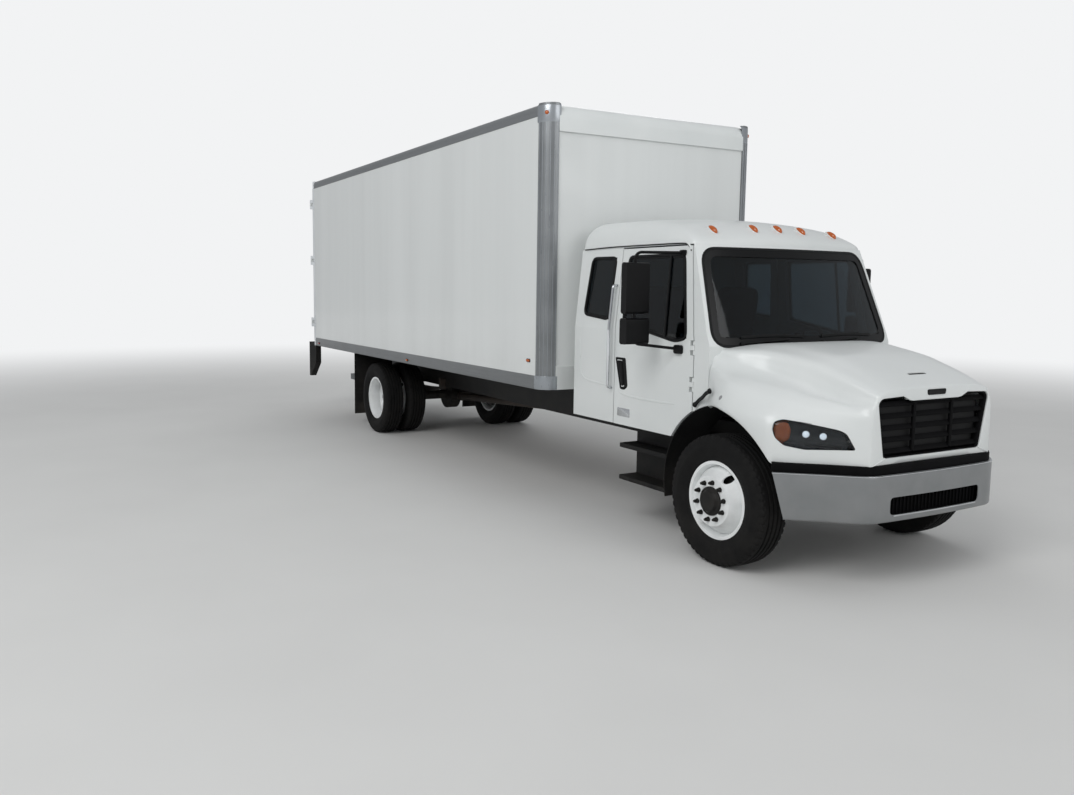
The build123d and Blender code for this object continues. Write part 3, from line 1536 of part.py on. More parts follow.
# Tie rod under the two steering arms, its end pins up through their eyes
tie_rod_z = arm_z - 26
with BuildPart() as tie_rod:
    with BuildSketch(Plane.XZ.offset(-arm_half)):
        with Locations((front_axle_x - steering_arm, tie_rod_z)):
            Circle(18)
    extrude(amount=2 * arm_half)
    with BuildSketch(Plane.XY.offset(tie_rod_z)):
        with Locations((front_axle_x - steering_arm, -arm_half)):
            Circle(arm_eye_radius - bearing_clearance)
        with Locations((front_axle_x - steering_arm, arm_half)):
            Circle(arm_eye_radius - 1)
    extrude(amount=arm_z + 24 - tie_rod_z)
save("tie_rod", tie_rod.part)

# Door hinges: barrels on the cowl's edge hold the pins, and each door has an eye between them
with BuildPart() as cowl_hinges:
    add(cab_cowl.part)
    for z in door_hinge_z:
        for low in (z - 55, z + 22):
            with BuildSketch(Plane.XY.offset(low)):
                for side in (-1, 1):
                    with BuildLine():
                        Polyline(
                            (door_pin_x, side * (door_pin_y - door_barrel_radius)),
                            (door_front_x + door_seam + 20, side * (door_pin_y - door_barrel_radius - 20)),
                            (door_front_x + door_seam + 20, side * door_pin_y),
                            (door_pin_x, side * (door_pin_y + door_barrel_radius)),
                            close=True,
                        )
                    make_face()
                    with Locations((door_pin_x, side * door_pin_y)):
                        Circle(door_barrel_radius)
            extrude(amount=33)
        with BuildSketch(Plane.XY.offset(z - 55)):
            for side in (-1, 1):
                with Locations((door_pin_x, side * door_pin_y)):
                    Circle(door_pin_radius)
        extrude(amount=110)
save("cab_cowl", cowl_hinges.part)

# Each door is cleared round the barrels and carries its eyes on short arms
with BuildPart() as door_left_hung:
    add(door_left.part)
    for z in door_hinge_z:
        with BuildSketch(Plane.XY.offset(z - 60)):
            with Locations((door_pin_x, door_pin_y)):
                Rectangle(70, 70)
        extrude(amount=120, mode=Mode.SUBTRACT)
        with BuildSketch(Plane.XY.offset(z - 19)):
            with BuildLine():
                Polyline(
                    (door_pin_x, door_pin_y + door_barrel_radius),
                    (door_pin_x - 45, door_pin_y + door_barrel_radius - 2),
                    (door_pin_x - 45, door_pin_y - door_barrel_radius - 20),
                    (door_pin_x, door_pin_y - door_barrel_radius),
                    close=True,
                )
            make_face()
            with Locations((door_pin_x, door_pin_y)):
                Circle(door_barrel_radius)
                Circle(door_pin_radius + seat_gap, mode=Mode.SUBTRACT)
        extrude(amount=38)
save("door_left", door_left_hung.part)
with BuildPart() as door_right_hung:
    mirror(door_left_hung.part, about=Plane.XZ)
save("door_right", door_right_hung.part)

# Mirrors: a tube loop from the door with a flat head above a wide-angle head
cab_skin = cab_form(-seat_gap)
mirror_tube_radius = 12
mirror_out_half = 1330
mirror_top_z = 2372
mirror_foot_z = 1600
mirror_arm_x = front_axle_x - 640
mirror_foot_x = mirror_arm_x + 60
mirror_head_x = front_axle_x - 790
mirror_head_table = (
    # middle z, depth along X, height
    (2085, 70, 410),
    (1740, 90, 210),
)
with BuildPart() as mirror_left:
    with BuildLine() as loop:
        FilletPolyline(
            (mirror_arm_x, cab_top_half - 10, mirror_top_z),
            (mirror_head_x, mirror_out_half, mirror_top_z),
            (mirror_head_x, mirror_out_half, mirror_foot_z + 40),
            (mirror_foot_x, cab_half - 20, mirror_foot_z),
            radius=50,
        )
    with BuildSketch(Plane(origin=loop.line @ 0, z_dir=loop.line % 0)):
        Circle(mirror_tube_radius)
    sweep(path=loop.line)
    with BuildSketch(Plane.XZ.offset(-(mirror_out_half - 130))):
        for middle_z, depth, height in mirror_head_table:
            with Locations((mirror_head_x - 12, middle_z)):
                RectangleRounded(depth, height, 24)
    extrude(amount=-230)
    with BuildSketch(Plane.XZ.offset(-(cab_half - 10))):
        with Locations((mirror_foot_x, mirror_foot_z)):
            RectangleRounded(90, 70, 20)
    extrude(amount=-36)
    with BuildSketch(Plane.XZ.offset(-(cab_top_half - 10))):
        with Locations((mirror_arm_x, mirror_top_z)):
            RectangleRounded(70, 44, 14)
    extrude(amount=-36)
    add(cab_skin, mode=Mode.SUBTRACT)
save("mirror_left", mirror_left.part)
with BuildPart() as mirror_right:
    mirror(mirror_left.part, about=Plane.XZ)
save("mirror_right", mirror_right.part)

# Grab handles beside the doors, from the belt up to the window's top
handle_x = front_axle_x - 1478
handle_half = cab_half + 46
handle_bottom_z = 1202
handle_top_z = 2110
with BuildPart() as grab_handles:
    with BuildLine() as bar:
        FilletPolyline(
            (handle_x, cab_half - 30, handle_bottom_z),
            (handle_x, handle_half, handle_bottom_z),
            (handle_x, handle_half, tumble_z),
            (handle_x, handle_half - 40, handle_top_z),
            (handle_x, cab_top_half, handle_top_z),
            radius=25,
        )
    with BuildSketch(Plane.XZ.offset(-(cab_half - 30))):
        with Locations((handle_x, handle_bottom_z)):
            Circle(14)
    sweep(path=bar.line)
    add(cab_skin, mode=Mode.SUBTRACT)
    mirror(about=Plane.XZ)
save("grab_handles", grab_handles.part)

# Dashboard across the cab behind the windscreen, seated on the firewall
dash_half = 960
with BuildPart() as dashboard:
    with BuildSketch(Plane.XZ.offset(-dash_half)):
        with BuildLine():
            Polyline(
                (screen_corner_x + screen_bow, 1300),
                (screen_corner_x + screen_bow, 1610),
                (firewall_rear_x, 1615),
                (firewall_rear_x - 120, 1625),
                (firewall_rear_x - 330, 1570),
                (firewall_rear_x - 360, 1450),
                (firewall_rear_x - 260, 1300),
                close=True,
            )
        make_face()
    extrude(amount=2 * dash_half)
    add(cab_form(cab_wall + seat_gap), mode=Mode.INTERSECT)

# Steering wheel on its column, on the left
wheel_centre = (front_axle_x - 720, 480, 1560)
wheel_tilt = 35
wheel_radius = 225
column_radius = 32
column_length = 190
column_dir = Vector(cos(radians(wheel_tilt)), 0, -sin(radians(wheel_tilt)))
with BuildPart() as steering_wheel:
    wheel_plane = Plane(origin=wheel_centre, x_dir=(0, 1, 0), z_dir=column_dir)
    with BuildSketch(Plane(origin=wheel_centre, x_dir=(0, 1, 0), z_dir=column_dir.cross(Vector(0, 1, 0)))):
        with Locations((wheel_radius, 0)):
            Circle(15)
    revolve(axis=Axis(wheel_centre, column_dir), revolution_arc=360)
    with BuildSketch(wheel_plane.offset(-8)):
        for angle in (0, 120, 240):
            with Locations(Location((0, 0, 0), (0, 0, angle))):
                with Locations((wheel_radius / 2, 0)):
                    Rectangle(wheel_radius, 40)
        Circle(60)
    extrude(amount=16)
    with BuildSketch(wheel_plane):
        Circle(column_radius)
    extrude(amount=column_length)
save("steering_wheel", steering_wheel.part)
with BuildPart() as dashboard_bored:
    add(dashboard.part)
    with BuildSketch(wheel_plane):
        Circle(column_radius + seat_gap)
    extrude(amount=column_length + seat_gap, mode=Mode.SUBTRACT)
save("dashboard", dashboard_bored.part)

# Seats: a driver's seat and a wide passenger seat, each on its plinth
seat_back_x = front_axle_x - 1560
seat_table = (
    # middle y, width
    (480, 520),
    (-400, 760),
)
pan_top_z = cab_pan_z + cab_pan_thickness
with BuildPart() as seats:
    for y, width in seat_table:
        with BuildSketch(Plane.XZ.offset(-y - width / 2)):
            with BuildLine():
                Polyline(
                    (seat_back_x, pan_top_z),
                    (seat_back_x + 520, pan_top_z),
                    (seat_back_x + 560, pan_top_z + 330),
                    (seat_back_x + 520, pan_top_z + 400),
                    (seat_back_x + 120, pan_top_z + 360),
                    (seat_back_x - 20, pan_top_z + 1020),
                    (seat_back_x - 120, pan_top_z + 1020),
                    (seat_back_x - 60, pan_top_z + 300),
                    close=True,
                )
            make_face()
        extrude(amount=width)
save("seats", seats.part)

# Lamps: five on the roof's brow, three low on each side of the body and a tail lamp behind each corner
roof_lamp_table = (
    # ahead of the axle, y, z
    (-587, 0, 2608),
    (-587, 276, 2604),
    (-587, -276, 2604),
    (-617, 690, 2596),
    (-617, -690, 2596),
)
side_lamp_table = (
    # x, z, the face it stands on inboard of the body's side
    (body_front_x - 277, 1375, 3),
    ((body_front_x + body_rear_x) / 2 + 332, 1294, 3),
    (body_rear_x + 298, 1150, 0),
)
with BuildPart() as body_lamps:
    for ahead, y, z in roof_lamp_table:
        with BuildSketch(Plane.XY.offset(z - 30)):
            with Locations((front_axle_x + ahead, y)):
                Ellipse(46, 26)
        extrude(amount=52)
    add(cab_skin, mode=Mode.SUBTRACT)
    for x, z, set_in in side_lamp_table:
        for start_y in (-body_half + set_in, body_half - set_in + 8):
            with BuildSketch(Plane.XZ.offset(-start_y)):
                with Locations((x, z)):
                    RectangleRounded(100, 36, 12)
            extrude(amount=8)
    with BuildSketch(Plane.YZ.offset(body_rear_x)):
        for side in (-1, 1):
            with Locations((side * 980, sill_top_z + 45)):
                RectangleRounded(300, 80, 20)
    extrude(amount=-20)
save("body_lamps", body_lamps.part)
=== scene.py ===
"""Looks of a white box truck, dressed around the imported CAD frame.

All sizes are metres in the frame's own axes: X forward, Y to the left, Z up from the ground.
"""

import json
import logging
import math
from dataclasses import dataclass
from enum import Enum
from typing import Callable, Sequence

import bmesh
import bpy
import numpy as np
from mathutils import Matrix, Vector

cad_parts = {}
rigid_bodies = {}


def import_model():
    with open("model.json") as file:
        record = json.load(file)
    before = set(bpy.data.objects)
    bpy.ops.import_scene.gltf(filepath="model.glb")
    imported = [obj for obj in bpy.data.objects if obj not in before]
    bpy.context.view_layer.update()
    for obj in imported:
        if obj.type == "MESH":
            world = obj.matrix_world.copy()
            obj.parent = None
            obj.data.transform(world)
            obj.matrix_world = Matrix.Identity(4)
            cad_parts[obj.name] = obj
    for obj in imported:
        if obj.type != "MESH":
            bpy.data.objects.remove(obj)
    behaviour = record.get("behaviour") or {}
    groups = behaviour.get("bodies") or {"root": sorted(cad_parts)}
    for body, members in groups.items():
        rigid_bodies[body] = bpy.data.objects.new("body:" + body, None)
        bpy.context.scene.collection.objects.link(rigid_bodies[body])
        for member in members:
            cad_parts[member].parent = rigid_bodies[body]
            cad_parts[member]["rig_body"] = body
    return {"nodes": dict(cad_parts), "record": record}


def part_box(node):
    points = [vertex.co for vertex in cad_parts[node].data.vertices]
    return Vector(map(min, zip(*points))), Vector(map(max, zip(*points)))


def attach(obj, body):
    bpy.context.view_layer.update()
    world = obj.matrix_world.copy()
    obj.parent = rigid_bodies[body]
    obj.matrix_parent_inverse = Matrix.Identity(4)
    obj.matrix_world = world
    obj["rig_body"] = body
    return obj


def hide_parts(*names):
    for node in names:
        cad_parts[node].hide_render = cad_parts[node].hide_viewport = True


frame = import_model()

LOG = logging.getLogger("box_truck")
Form = tuple[np.ndarray, Sequence]
Pairs = tuple[tuple[float, float], ...]
SIDES = ((1, "left"), (-1, "right"))
NODES = frame["nodes"]
NODE_SLOT: dict[str, str] = {part["node"]: part["material_slot"] for part in frame["record"]["subparts"]}


def place_of(node: str) -> tuple[np.ndarray, np.ndarray]:
    """Return the lowest and highest corner of a CAD node as arrays."""
    low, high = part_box(node)
    return np.array(low), np.array(high)


FRONT_LOW, FRONT_HIGH = place_of("tyre_front_right")
REAR_LOW, REAR_HIGH = place_of("tyres_rear_right")
FRONT_X = float(FRONT_LOW[0] + FRONT_HIGH[0]) / 2
REAR_X = float(REAR_LOW[0] + REAR_HIGH[0]) / 2
TYRE_RADIUS = float(FRONT_HIGH[2] - FRONT_LOW[2]) / 2
CAP_FRONT_X = float(place_of("body_nose_cap")[1][0])
BODY_FRONT_X, BODY_HALF = place_of("body_rails_posts")[1][:2].tolist()
BODY_REAR_X = float(place_of("body_rear_frame")[0][0])


# ---------------------------------------------------------------- finishes


def linear(code: str) -> tuple[float, float, float, float]:
    """Turn an sRGB hex colour into a linear one.

    Args:
        code: the colour as "#rrggbb".

    Returns:
        Red, green, blue and alpha, linear.
    """
    values = np.array([int(code[i : i + 2], 16) / 255 for i in (1, 3, 5)])
    rgb = np.where(values <= 0.04045, values / 12.92, ((values + 0.055) / 1.055) ** 2.4)
    return (*rgb.tolist(), 1.0)


def add_node(
    tree: bpy.types.NodeTree, kind: str, sockets: dict | None = None, **settings: object
) -> bpy.types.Node:
    """Add one shader node with its settings, and its inputs as values or links.

    Args:
        tree: the material's or world's node tree.
        kind: the node's type name after "ShaderNode".
        sockets: input name or index to a value, or to an output socket that feeds it.
        settings: attributes of the node itself.

    Returns:
        The new node.
    """
    made = tree.nodes.new(f"ShaderNode{kind}")
    for name, value in settings.items():
        setattr(made, name, value)
    for name, value in (sockets or {}).items():
        if isinstance(value, bpy.types.NodeSocket):
            tree.links.new(value, made.inputs[name])
        else:
            made.inputs[name].default_value = value
    return made


def empty_tree(owner: bpy.types.Material | bpy.types.World) -> bpy.types.NodeTree:
    """Switch a material's or world's nodes on and return its tree, emptied."""
    owner.use_nodes = True
    owner.node_tree.nodes.clear()
    return owner.node_tree


class Grain(Enum):
    """How a surface's fine relief and streaks run."""

    EVEN = "even"
    UPRIGHT = "upright"
    LENGTHWISE = "lengthwise"
    WOVEN = "woven"
    PLANKS = "planks"


DUST_ROUGHNESS = 0.85
COAT_ROUGHNESS = 0.06
# How much the pattern is stretched along X, Y and Z: a small number draws it out.
STRETCH = {Grain.UPRIGHT: (1, 1, 0.06), Grain.LENGTHWISE: (0.05, 1, 1), Grain.PLANKS: (0.08, 1, 1)}


@dataclass(frozen=True)
class Finish:
    """One real material and how it was made, drawn by nodes on Object coordinates.

    Colours are sRGB hex. `mottle_mm` is the size of the slow colour change, `grain_mm` that of the fine
    relief and `depth_mm` its height. `dirt` is how much road dust lies on it, fading out above `dirt_top`.
    """

    name: str
    colour: str
    tint: str
    roughness: float
    spread: float = 0.08
    metallic: float = 0.0
    mottle_mm: float = 400.0
    grain_mm: float = 6.0
    depth_mm: float = 0.05
    grain: Grain = Grain.EVEN
    coat: float = 0.0
    sheen: float = 0.0
    dirt: float = 0.0
    dirt_top: float = 1.4
    dirt_colour: str = "#7d766b"
    transmission: float = 0.0
    ior: float = 1.5
    glow: float = 0.0

    def build(self) -> bpy.types.Material:
        """Make the Blender material.

        Returns:
            The material, with its node tree.
        """
        material = bpy.data.materials.new(self.name)
        tree = empty_tree(material)
        place = add_node(tree, "TexCoord").outputs["Object"]
        stretch = STRETCH.get(self.grain, (1, 1, 1))
        mapped = add_node(tree, "Mapping", {"Vector": place, "Scale": stretch}).outputs[0]
        slow = {"Vector": mapped, "Scale": 1000 / self.mottle_mm, "Detail": 4.0}
        slow = add_node(tree, "TexNoise", slow).outputs["Fac"]
        slow = add_node(tree, "MapRange", {"Value": slow, "From Min": 0.3, "From Max": 0.7}).outputs["Result"]
        fine = {"Vector": mapped, "Scale": 1000 / self.grain_mm, "Detail": 2.0}
        fine = add_node(tree, "TexNoise", fine).outputs["Fac"]
        if self.grain is Grain.WOVEN:
            fine = self.weave(tree, place)
        tones = {"Factor": slow, 6: linear(self.colour), 7: linear(self.tint)}
        colour = add_node(tree, "Mix", tones, data_type="RGBA").outputs[2]
        low, high = self.roughness - self.spread, self.roughness + self.spread
        rough = add_node(tree, "MapRange", {"Value": fine, "To Min": low, "To Max": high}).outputs["Result"]
        if self.dirt > 0:
            dust = self.dust(tree, place)
            tones = {"Factor": dust, 6: colour, 7: linear(self.dirt_colour)}
            colour = add_node(tree, "Mix", tones, data_type="RGBA").outputs[2]
            levels = {"Factor": dust, 2: rough, 3: DUST_ROUGHNESS}
            rough = add_node(tree, "Mix", levels, data_type="FLOAT").outputs[0]
        relief = add_node(tree, "Bump", {"Height": fine, "Distance": self.depth_mm / 1000, "Strength": 1.0})
        sockets = {
            "Base Color": colour,
            "Roughness": rough,
            "Normal": relief.outputs["Normal"],
            "Metallic": self.metallic,
            "Coat Weight": self.coat,
            "Coat Roughness": COAT_ROUGHNESS,
            "Sheen Weight": self.sheen,
            "Transmission Weight": self.transmission,
        }
        if self.metallic == 0:
            sockets["IOR"] = self.ior
        # Only the projectors glow, as a painted highlight.
        if self.glow > 0:
            sockets |= {"Emission Color": linear(self.colour), "Emission Strength": self.glow}
        shader = add_node(tree, "BsdfPrincipled", sockets)
        add_node(tree, "OutputMaterial", {"Surface": shader.outputs[0]})
        return material

    def weave(self, tree: bpy.types.NodeTree, place: bpy.types.NodeSocket) -> bpy.types.NodeSocket:
        """Draw a plain weave: the product of two sets of bands at right angles.

        Args:
            tree: the material's node tree.
            place: the Object coordinates.

        Returns:
            The weave's height, 0 to 1.
        """
        # A wave node draws 20 / 6.28 bands per unit of scale, so the weave repeats at about twice grain_mm.
        thread = {"Vector": place, "Scale": 1000 / self.grain_mm / 6.28, "Distortion": 0.4}
        across, along = (
            add_node(tree, "TexWave", thread, bands_direction=axis).outputs["Fac"] for axis in ("Y", "Z")
        )
        return add_node(tree, "Math", {0: across, 1: along}, operation="MULTIPLY").outputs[0]

    def dust(self, tree: bpy.types.NodeTree, place: bpy.types.NodeSocket) -> bpy.types.NodeSocket:
        """Draw road dust: cloudy, thickest at the ground and gone above dirt_top.

        Args:
            tree: the material's node tree.
            place: the Object coordinates.

        Returns:
            How much dust lies at a place, 0 to 1.
        """
        height = add_node(tree, "SeparateXYZ", {"Vector": place}).outputs["Z"]
        low = {"Value": height, "From Min": 0.0, "From Max": self.dirt_top}
        low |= {"To Min": self.dirt, "To Max": 0.0}
        low = add_node(tree, "MapRange", low).outputs["Result"]
        cloud = {"Vector": place, "Scale": 5.0, "Detail": 6.0, "Roughness": 0.65}
        cloud = add_node(tree, "TexNoise", cloud).outputs["Fac"]
        cloud = {"Value": cloud, "From Min": 0.35, "From Max": 0.75}
        cloud = add_node(tree, "MapRange", cloud).outputs["Result"]
        return add_node(tree, "Math", {0: low, 1: cloud}, operation="MULTIPLY").outputs[0]


# Sprayed two-pack enamel: a white satin gloss with faint orange peel and a little road film low down.
CAB_ENAMEL = Finish(
    "cab_sprayed_enamel", "#dcdfde", "#d3d7d6", 0.34, 0.04, mottle_mm=900, grain_mm=9, depth_mm=0.02,
    coat=0.12, dirt=0.16, dirt_top=1.2,
)
# Prefinished plywood side panel: white gel coat with faint upright bands of lighter and darker tone.
SIDE_PANEL = Finish(
    "side_gel_coated_panel", "#dcdfde", "#d5d8d7", 0.34, 0.06, mottle_mm=380, grain_mm=22, depth_mm=0.10,
    grain=Grain.UPRIGHT, coat=0.25, dirt=0.10, dirt_top=1.9,
)
# Moulded glass-fibre cap: white gel coat, even and satin.
NOSE_GEL_COAT = Finish(
    "nose_cap_gel_coat", "#e2e5e4", "#d9dddc", 0.32, 0.05, mottle_mm=700, grain_mm=14, coat=0.2
)
# Mill-finish sheet, rolled: pale grey with lengthwise streaks, fairly dull.
ROOF_SHEET = Finish(
    "roof_rolled_aluminium", "#c9ccd0", "#b9bdc2", 0.42, 0.10, 0.85, mottle_mm=500, grain_mm=20,
    grain=Grain.LENGTHWISE,
)
# Extruded aluminium rail, clear anodised: mid grey with fine die lines along its length.
RAIL_ALUMINIUM = Finish(
    "rail_extruded_aluminium", "#8c8f91", "#7c7f81", 0.38, 0.08, 0.75, mottle_mm=300, grain_mm=8,
    depth_mm=0.04, grain=Grain.LENGTHWISE, dirt=0.25, dirt_top=2.0,
)
# Extruded aluminium corner post: paler than the rails, with the die lines upright.
POST_ALUMINIUM = Finish(
    "post_extruded_aluminium", "#a9adb1", "#9a9fa4", 0.30, 0.08, 0.75, mottle_mm=260, grain_mm=8,
    depth_mm=0.04, grain=Grain.UPRIGHT,
)
# Sprayed steel door portal: white enamel, a little chalky.
PORTAL_ENAMEL = Finish(
    "portal_sprayed_enamel", "#dfe2e4", "#d2d6d9", 0.38, 0.06, mottle_mm=350, grain_mm=10, depth_mm=0.04,
    dirt=0.25, dirt_top=2.0,
)
# Chassis black: brushed-on enamel over rolled steel, dull and a little dusty; its black is made darker still
# as painted shade under the truck.
CHASSIS_BLACK_AND_SHADE = Finish(
    "chassis_black_enamel_and_painted_shade", "#0b0c0d", "#151516", 0.50, 0.12, mottle_mm=180, grain_mm=12, depth_mm=0.15,
    dirt=0.2, dirt_top=1.1, ior=1.35,
)
# Sand-cast iron: coarse, dull and almost black, its darkness partly painted shade under the truck.
CAST_IRON_AND_SHADE = Finish(
    "axle_cast_iron_and_painted_shade", "#151413", "#201d1a", 0.72, 0.12, mottle_mm=90, grain_mm=5, depth_mm=0.5, dirt=0.3,
    dirt_top=1.0,
)
# Rolled spring steel with mill scale: dark grey with brown patches, streaked along the leaf.
SPRING_STEEL = Finish(
    "spring_rolled_steel", "#2e2f31", "#443a33", 0.58, 0.12, 0.4, mottle_mm=120, grain_mm=7, depth_mm=0.2,
    grain=Grain.LENGTHWISE, dirt=0.5, dirt_top=1.0,
)
# Engine iron: painted casting, dark and oily.
ENGINE_IRON = Finish(
    "engine_painted_casting", "#26272a", "#33312e", 0.55, 0.15, mottle_mm=110, depth_mm=0.5, dirt=0.4
)
# Spun aluminium tank: bright, slightly scuffed, streaks lengthwise.
TANK_ALUMINIUM = Finish(
    "tank_spun_aluminium", "#b6b9bc", "#a2a5a8", 0.33, 0.10, 1.0, mottle_mm=200, grain=Grain.LENGTHWISE,
    dirt=0.35, dirt_top=1.0,
)
# Moulded polypropylene: black with a fine leather grain, faintly dusty low down.
BLACK_MOULDING = Finish(
    "black_moulded_polypropylene", "#0d0e0f", "#141516", 0.55, mottle_mm=160, grain_mm=4, depth_mm=0.12,
    dirt=0.15, dirt_top=1.0, ior=1.30,
)
# Black ABS of mirrors and handles: smoother than the polypropylene, with a soft gleam.
GLOSS_ABS = Finish(
    "black_gloss_abs", "#040405", "#08080a", 0.42, 0.06, mottle_mm=200, grain_mm=9, depth_mm=0.02, ior=1.28
)
# Bumper: pressed steel in silver-grey enamel, satin with a faint metallic fleck.
BUMPER_ENAMEL = Finish(
    "bumper_silver_enamel", "#818384", "#777a7b", 0.40, 0.06, 0.15, mottle_mm=220, grain_mm=5,
    depth_mm=0.03, coat=0.3, dirt=0.2, dirt_top=0.9,
)
# Tyre: vulcanised carbon-black rubber, matt black with a thin film of dust.
TYRE_RUBBER = Finish(
    "tyre_vulcanised_rubber", "#09090a", "#111111", 0.78, mottle_mm=70, grain_mm=5, depth_mm=0.25,
    dirt=0.16, dirt_top=1.2, dirt_colour="#4c4843", ior=1.3,
)
# Wheel disc: pressed steel in white enamel, with brake dust.
RIM_ENAMEL = Finish(
    "rim_white_enamel", "#f0f2f2", "#e4e7e7", 0.30, 0.06, mottle_mm=120, grain_mm=7, depth_mm=0.04,
    coat=0.3, dirt=0.30, dirt_top=1.1, dirt_colour="#8a8378",
)
# Hub and nuts: forged steel under black paint, half shiny.
HUB_BLACK = Finish(
    "hub_black_paint", "#09090a", "#131210", 0.48, 0.10, mottle_mm=60, grain_mm=4, depth_mm=0.15,
    dirt=0.15, dirt_top=1.0, ior=1.35,
)
# Bright plated steel: a mirror-like finish with faint haze.
CHROME = Finish(
    "bright_chrome_plate", "#d6d8da", "#cfd2d5", 0.10, 0.03, 1.0, mottle_mm=90, grain_mm=8, depth_mm=0.01
)
# Zinc-plated steel rod: pale, slightly yellow, dull.
ZINC_STEEL = Finish(
    "rod_zinc_plated_steel", "#8d8b84", "#77736a", 0.45, 0.1, 0.8, mottle_mm=60, grain_mm=5, depth_mm=0.1,
    dirt=0.4,
)
# Galvanised steel of the lift gate: grey with a broad spangle.
GALVANISED = Finish(
    "gate_galvanised_steel", "#84888b", "#6f7376", 0.50, 0.10, 0.7, mottle_mm=45, grain_mm=12, dirt=0.45,
    dirt_top=1.1,
)
# Laminated safety glass, tinted: dark, with a green-grey cast.
CAB_GLASS = Finish(
    "cab_laminated_glass", "#5a666a", "#56626a", 0.03, 0.01, mottle_mm=900, grain_mm=60, depth_mm=0.0,
    transmission=1.0, ior=1.32,
)
# Lamp cover: clear polycarbonate, smoked by the dark bowl behind it.
CLEAR_LENS = Finish(
    "lamp_clear_polycarbonate", "#d2d6d9", "#cbd0d3", 0.03, 0.01, mottle_mm=200, grain_mm=40,
    depth_mm=0.0, transmission=1.0, ior=1.30,
)
# Amber polycarbonate: a saturated orange lens over a pale reflector.
AMBER_LENS = Finish(
    "lamp_amber_polycarbonate", "#bc5c16", "#a84e10", 0.18, 0.05, mottle_mm=20, grain_mm=4, depth_mm=0.1,
    coat=0.5,
)
# Red polycarbonate of the tail lamps: deep red with a clear gloss.
RED_LENS = Finish(
    "lamp_red_polycarbonate", "#a8141a", "#8f0f14", 0.18, 0.05, mottle_mm=20, grain_mm=4, depth_mm=0.1,
    coat=0.5,
)
# Laminated hardwood deck: narrow oak strips, oiled.
OAK_DECK = Finish(
    "floor_laminated_oak", "#8b6a45", "#6e5233", 0.55, 0.10, mottle_mm=60, grain_mm=9, depth_mm=0.3,
    grain=Grain.PLANKS, dirt=0.3, dirt_top=1.6,
)
# Extruded rubber buffer and flaps: matt black with a little chalky dust.
BUFFER_RUBBER = Finish(
    "buffer_extruded_rubber", "#101011", "#191918", 0.80, mottle_mm=90, depth_mm=0.3, dirt=0.2,
    dirt_top=1.2, ior=1.35,
)
# Instrument panel: soft-grained vinyl skin, mid grey.
DASH_VINYL = Finish(
    "dash_grained_vinyl", "#4a4c4f", "#434548", 0.62, 0.06, mottle_mm=150, grain_mm=5, depth_mm=0.2
)
# Steering wheel rim: moulded polyurethane, dark grey.
WHEEL_URETHANE = Finish(
    "steering_moulded_urethane", "#232426", "#2b2c2e", 0.5, 0.06, mottle_mm=60, grain_mm=4, depth_mm=0.15
)
# Seat cloth: plain-woven polyester, its repeat drawn at 12 mm so that it shows, mid grey with a soft sheen.
SEAT_CLOTH = Finish(
    "seat_woven_polyester", "#55585c", "#4a4d51", 0.85, 0.05, mottle_mm=120, depth_mm=0.5,
    grain=Grain.WOVEN, sheen=0.25,
)
# Window and panel seals: extruded rubber, black and slightly shiny.
SEAL_RUBBER = Finish(
    "seal_extruded_rubber", "#08090a", "#0e0f10", 0.52, 0.06, mottle_mm=120, grain_mm=5, ior=1.3
)
# Lamp bowl: aluminised moulding dulled by the smoked cover, near black and half shiny.
LAMP_BOWL = Finish(
    "lamp_black_bezel", "#1c1e21", "#26292c", 0.30, 0.06, 0.2, mottle_mm=60, grain_mm=12
)
# Pressed glass of a projector: milky, with a glow that paints its bright highlight.
PROJECTOR_GLASS_GLOWING_HIGHLIGHT = Finish(
    "projector_glass_painted_highlight", "#dde4ea", "#c9d2da", 0.08, 0.03, mottle_mm=20, grain_mm=12,
    depth_mm=0.02, coat=1.0, glow=0.9,
)
# Matt black sheet set behind openings, where there is only shade: painted shade.
OPENING_PAINTED_SHADE = Finish(
    "opening_painted_shade_black", "#0b0b0c", "#111213", 0.8, 0.05, mottle_mm=90, depth_mm=0.1
)
# Moulded filler and grille: matt black that gives back almost no light.
FILLER_BLACK = Finish(
    "filler_matt_black_moulding", "#040405", "#08080a", 0.75, 0.06, mottle_mm=120, depth_mm=0.08, ior=1.2
)
# Bright satin metal: the blank badge plates, and the bumper's bright edge strips, which are painted
# highlight.
SATIN_METAL_AND_HIGHLIGHT = Finish(
    "satin_metal_and_painted_highlight", "#d2d4d6", "#c4c7c9", 0.24, 0.05, 0.9, mottle_mm=120, grain_mm=8,
    depth_mm=0.02, grain=Grain.LENGTHWISE,
)
# Ceramic border printed round laminated glass: black with a glassy gloss.
SCREEN_PRINT = Finish(
    "glass_ceramic_print", "#060708", "#0a0b0c", 0.20, 0.03, mottle_mm=300, grain_mm=20, depth_mm=0.01,
    ior=1.3,
)
# Reflector face: moulded acrylic, grey with a fine prism grain.
REFLECTOR = Finish(
    "reflector_moulded_acrylic", "#8f9192", "#7d7f80", 0.30, mottle_mm=30, depth_mm=0.3, coat=0.5
)

